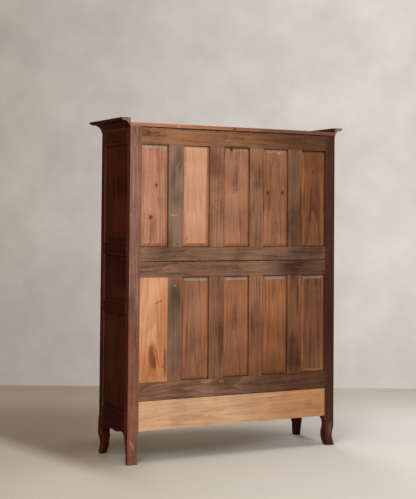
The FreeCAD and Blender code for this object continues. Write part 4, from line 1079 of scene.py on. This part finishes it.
@dataclass
class Doors:
    """The two doors with their hinges, bolts, lock and key."""

    ease: float = 1.2
    pin_inset: float = 8
    rivet_inset: float = 8

    def build(self) -> None:
        """Dresses the doors and their fittings."""
        upright = replace(FRONT_WALNUT, name="door_stile_walnut", heart=(0, -150, 1100)).build()
        level = replace(FRONT_WALNUT, name="door_rail_walnut", lay=Lay.ACROSS_BACK,
                        heart=(0, -150, 1100)).build()
        panel = replace(FRONT_WALNUT, name="door_panel_walnut", heart=(0, -120, 1100), ring=20, rings=0.4,
                        colour="#47200f").build()
        iron = IRON.build()
        brass = BRASS.build()
        for side in SIDES:
            dress(f"{side}_door_hinge_stile", upright, self.ease)
            # the stile with the keyhole keeps its crisp edges, since easing would tear round the hole
            dress(f"{side}_door_meeting_stile", upright, self.ease if side == "left" else 0)
            for part in ("top_rail", "rails"):
                dress(f"{side}_door_{part}", level, self.ease)
            dress(f"{side}_door_panels", panel, self.ease)
            rounded(dress(f"{side}_door_hinge_barrels", iron))
            rounded(dress(f"{side}_door_escutcheon", brass))
            self.pins(side, brass)
        for name in ("hinge_pintles", "left_door_bolt_guides", "left_door_top_bolt", "left_door_bottom_bolt",
                     "right_door_lock_case", "right_door_lock_bolt", "right_door_key"):
            rounded(dress(name, iron))
        self.rivets(iron)

    def pins(self, side: str, brass: bpy.types.Material) -> None:
        """The two pins that hold a keyhole plate.

        Args:
            side: The door's side.
            brass: Their material.
        """
        low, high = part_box(f"{side}_door_escutcheon")
        middle = (low + high) / 2
        reach = (high.z - low.z) / 2 - self.pin_inset * MM
        places = [(middle.x, low.y, middle.z + way * reach) for way in (-1, 1)]
        pin = Stud(radius=1.7, rise=0.9, sides=12)
        pin.row(f"{side}_plate_pins", places, (90, 0, 0), brass, f"{side}_door", "brass")

    def rivets(self, iron: bpy.types.Material) -> None:
        """The rivets at the corners of the lock case.

        Args:
            iron: Their material.
        """
        low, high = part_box("right_door_lock_case")
        inset = self.rivet_inset * MM
        places = [(x, high.y, z) for x in (low.x + inset, high.x - inset)
                  for z in (low.z + inset, high.z - inset)]
        Stud(radius=3.0, rise=1.2).row("lock_case_rivets", places, (-90, 0, 0), iron, "right_door", "iron")


@dataclass
class Inside:
    """The floor boards, the shelves and the cleats that carry them."""

    ease: float = 1.5

    def build(self) -> None:
        """Dresses the inside."""
        oak = INNER_OAK.build()
        for name in ("floor_boards", "shelf_lower", "shelf_middle", "shelf_upper", "shelf_cleats"):
            dress(name, oak, self.ease)


# ---------------------------------------------------------------- studio


@dataclass
class Studio:
    """The floor, the backdrop, the soft lamps and the camera. Lengths here are metres."""

    floor_radius: float = 7.0
    floor_end: float = 2.76
    floor_blend: float = 0.08
    floor_fade: tuple[float, float] = (3.4, 5.5)
    floor_left: str = "#aca194"
    floor_right: str = "#d8d1c8"
    # the piece's shade on the floor to its left: where it grows from right to left, where its slanted
    # near edge lies, where it fades ahead, and its full share and the part of it that is left there
    cast_across: tuple[float, float] = (-0.3, -1.0)
    cast_near: tuple[float, float] = (-1.9, -1.4)
    cast_far: tuple[float, float] = (1.0, 2.3)
    cast_slant: float = 1.25
    cast_share: float = 0.76
    cast_fade: float = 0.4
    # the shade under the piece: its middle, its stretch, its reach and its share
    under_middle: tuple[float, float, float] = (0.05, -0.32, 0)
    under_stretch: tuple[float, float, float] = (1, 2, 1)
    under_reach: tuple[float, float] = (0.4, 1.1)
    under_share: float = 0.68
    # the shade towards the foot of the backdrop: where it starts, and its share
    foot_start: float = 0.9
    foot_share: float = 0.65
    wall_left: str = "#b3aaa0"
    wall_right: str = "#dbd4cc"
    light_colour: str = "#f4f1ee"
    light_strength: float = 0.22
    # each lamp's name, place and power in watts: a key over the back, one overhead, and the fills
    lamp_list: tuple[tuple[str, tuple[float, float, float], float], ...] = (
        ("key_lamp", (3.3, 4.2, 3.2), 205),
        ("overhead_lamp", (0.3, 1.2, 5.4), 130),
        ("side_lamp", (5.0, -1.5, 2.6), 24),
        ("front_lamp", (-1.5, -5.0, 3.2), 190),
        ("far_side_lamp", (-5.0, 1.0, 2.6), 60),
    )
    lamp_size: float = 3.0
    lamp_aim: tuple[float, float, float] = (0, 0, 1.1)
    lens: float = 83.70
    sensor: float = 36
    drop: float = -0.1398
    yaw: float = -0.49334
    pitch: float = 0.03406
    roll: float = 0.00824
    eye: tuple[float, float, float] = (3.7472, 6.8276, 1.5203)

    def build(self) -> None:
        """Sets the stage up."""
        self.floor()
        self.world()
        for name, place, power in self.lamp_list:
            self.lamp(name, place, power)
        self.camera()
        bpy.context.scene.view_settings.view_transform = "Standard"

    def across(self) -> tuple[float, float, float]:
        """The level direction that runs from left to right in the main view."""
        return -math.cos(self.yaw), -math.sin(self.yaw), 0

    def ahead(self) -> tuple[float, float, float]:
        """The level direction that the main view looks in."""
        return math.sin(self.yaw), -math.cos(self.yaw), 0

    def floor(self) -> None:
        """A pale floor that ends in a line at the foot of the backdrop and fades out all round."""
        bpy.ops.object.select_all(action="DESELECT")
        bpy.ops.mesh.primitive_circle_add(vertices=64, radius=self.floor_radius, fill_type="NGON")
        disc = bpy.context.object
        disc.name = "floor"
        tree = Tree(bpy.data.materials.new("studio_floor"))
        place = tree.add("TexCoord").outputs["Object"]
        ahead = tree.add("VectorMath", {0: place, 1: self.ahead()}, operation="DOT_PRODUCT").outputs["Value"]
        cloth = tree.add("BsdfDiffuse", {"Color": self.floor_tint(tree, place, ahead)})
        clear = tree.add("BsdfTransparent")
        edge = tree.add("MapRange", {
            "Value": ahead, "From Min": self.floor_end, "From Max": self.floor_end + self.floor_blend,
        }).outputs[0]
        away = tree.add("VectorMath", {0: place}, operation="LENGTH").outputs["Value"]
        fade_start, fade_end = self.floor_fade
        rim = tree.add("MapRange", {
            "Value": away, "From Min": fade_start, "From Max": fade_end,
        }, interpolation_type="SMOOTHSTEP")
        gone = tree.add("Math", {0: edge, 1: rim.outputs[0]}, operation="MAXIMUM")
        mix = tree.add("MixShader", {0: gone.outputs[0], 1: cloth.outputs[0], 2: clear.outputs[0]})
        disc.data.materials.append(tree.close(mix))

    def floor_tint(self, tree: Tree, place: Socket, ahead: Socket) -> Socket:
        """The floor's colour: paler to the right, and shaded in three places.

        Args:
            tree: The floor's nodes.
            place: The object coordinates.
            ahead: How far a point lies ahead of the middle, in metres.

        Returns:
            The colour.
        """
        along = tree.add("VectorMath", {0: place, 1: self.across()}, operation="DOT_PRODUCT").outputs["Value"]
        side = tree.add("MapRange", {"Value": along, "From Min": -1.3, "From Max": 1.3})
        tint = tree.add("Mix", {
            0: side.outputs[0], 6: linear(self.floor_left), 7: linear(self.floor_right),
        }, data_type="RGBA").outputs[2]
        # the near edge of the cast shade runs slantwise from the front leg
        near = tree.add("Math", {0: along, 1: self.cast_slant, 2: ahead}, operation="MULTIPLY_ADD")
        cast = self.cast_share
        for value, (start, end), (low, high) in ((near.outputs[0], self.cast_near, (0, 1)),
                                                 (ahead, self.cast_far, (1, self.cast_fade)),
                                                 (along, self.cast_across, (0, 1))):
            step = tree.add("MapRange", {
                "Value": value, "From Min": start, "From Max": end, "To Min": low, "To Max": high,
            }, interpolation_type="SMOOTHSTEP").outputs[0]
            cast = tree.add("Math", {0: cast, 1: step}, operation="MULTIPLY").outputs[0]
        offset = tree.add("VectorMath", {0: place, 1: self.under_middle}, operation="SUBTRACT").outputs[0]
        oval = tree.add("VectorMath", {0: offset, 1: self.under_stretch}, operation="MULTIPLY").outputs[0]
        inner, outer = self.under_reach
        under = tree.add("MapRange", {
            "Value": tree.add("VectorMath", {0: oval}, operation="LENGTH").outputs["Value"],
            "From Min": inner, "From Max": outer, "To Min": self.under_share, "To Max": 0.0,
        }, interpolation_type="SMOOTHSTEP").outputs[0]
        foot = tree.add("MapRange", {
            "Value": ahead, "From Min": self.foot_start, "From Max": self.floor_end,
            "To Max": self.foot_share,
        }, interpolation_type="SMOOTHSTEP").outputs[0]
        for share, shadow in ((cast, "#a08c7a"), (under, "#b09a84"), (foot, "#c4b8aa")):
            tint = tree.add("Mix", {
                0: share, 6: tint, 7: linear(shadow),
            }, data_type="RGBA", blend_type="MULTIPLY").outputs[2]
        return tint

    def world(self) -> None:
        """An even light, and a mottled backdrop, paler to the right and darker towards its foot."""
        world = bpy.data.worlds.new("studio")
        bpy.context.scene.world = world
        tree = Tree(world)
        way = tree.add("TexCoord").outputs["Generated"]
        along = tree.add("VectorMath", {0: way, 1: self.across()}, operation="DOT_PRODUCT").outputs["Value"]
        share = tree.add("MapRange", {"Value": along, "From Min": -0.17, "From Max": 0.12})
        tint = tree.add("Mix", {
            0: share.outputs[0], 6: linear(self.wall_left), 7: linear(self.wall_right),
        }, data_type="RGBA")
        cloud = tree.add("TexNoise", {"Vector": way, "Scale": 22, "Detail": 6, "Roughness": 0.6})
        plaster = tree.add("MapRange", {
            "Value": cloud.outputs[0], "From Min": 0.3, "From Max": 0.7, "To Min": 0.88, "To Max": 1.06,
        })
        low = tree.add("MapRange", {
            "Value": tree.add("SeparateXYZ", {0: way}).outputs["Z"],
            "From Min": -0.02, "From Max": -0.11, "To Min": 1.0, "To Max": 0.86,
        })
        level = tree.add("Math", {0: plaster.outputs[0], 1: low.outputs[0]}, operation="MULTIPLY")
        wall = tree.add("VectorMath", {0: tint.outputs[2], "Scale": level.outputs[0]}, operation="SCALE")
        seen = tree.add("Background", {"Color": wall.outputs[0]})
        light = tree.add("Background", {"Color": linear(self.light_colour), "Strength": self.light_strength})
        rays = tree.add("LightPath").outputs["Is Camera Ray"]
        mix = tree.add("MixShader", {0: rays, 1: light.outputs[0], 2: seen.outputs[0]})
        tree.close(mix, "OutputWorld")

    def lamp(self, name: str, place: tuple[float, float, float], power: float) -> None:
        """Hangs a square soft lamp that looks at the middle of the piece.

        Args:
            name: The lamp's name.
            place: Where it hangs, in metres.
            power: Its power in watts.
        """
        data = bpy.data.lights.new(name, "AREA")
        data.energy = power
        data.size = self.lamp_size
        item = bpy.data.objects.new(name, data)
        bpy.context.scene.collection.objects.link(item)
        item.location = place
        item.rotation_euler = (Vector(self.lamp_aim) - Vector(place)).to_track_quat("-Z", "Y").to_euler()

    def camera(self) -> None:
        """The camera, with its axes from yaw, pitch and roll."""
        ahead = Vector(self.ahead())
        right = Vector(self.across())
        up = Vector((0, 0, 1))
        look = math.cos(self.pitch) * ahead + math.sin(self.pitch) * up
        top = -math.sin(self.pitch) * ahead + math.cos(self.pitch) * up
        turned_right = math.cos(self.roll) * right + math.sin(self.roll) * top
        turned_top = -math.sin(self.roll) * right + math.cos(self.roll) * top
        axes = Matrix((turned_right, turned_top, -look)).transposed()
        data = bpy.data.cameras.new("camera")
        data.lens = self.lens
        data.sensor_width = self.sensor
        data.sensor_fit = "AUTO"
        data.shift_y = self.drop
        item = bpy.data.objects.new("camera", data)
        bpy.context.scene.collection.objects.link(item)
        item.matrix_world = Matrix.Translation(self.eye) @ axes.to_4x4()
        bpy.context.scene.camera = item


def main() -> None:
    """Builds the sub-assemblies in order, then the stage."""
    logging.basicConfig(level=logging.INFO, format="%(name)s: %(message)s")
    FramedBack().build()
    Flanks().build()
    Crown().build()
    Front().build()
    Doors().build()
    Inside().build()
    Studio().build()


if __name__ == "__main__":
    main()
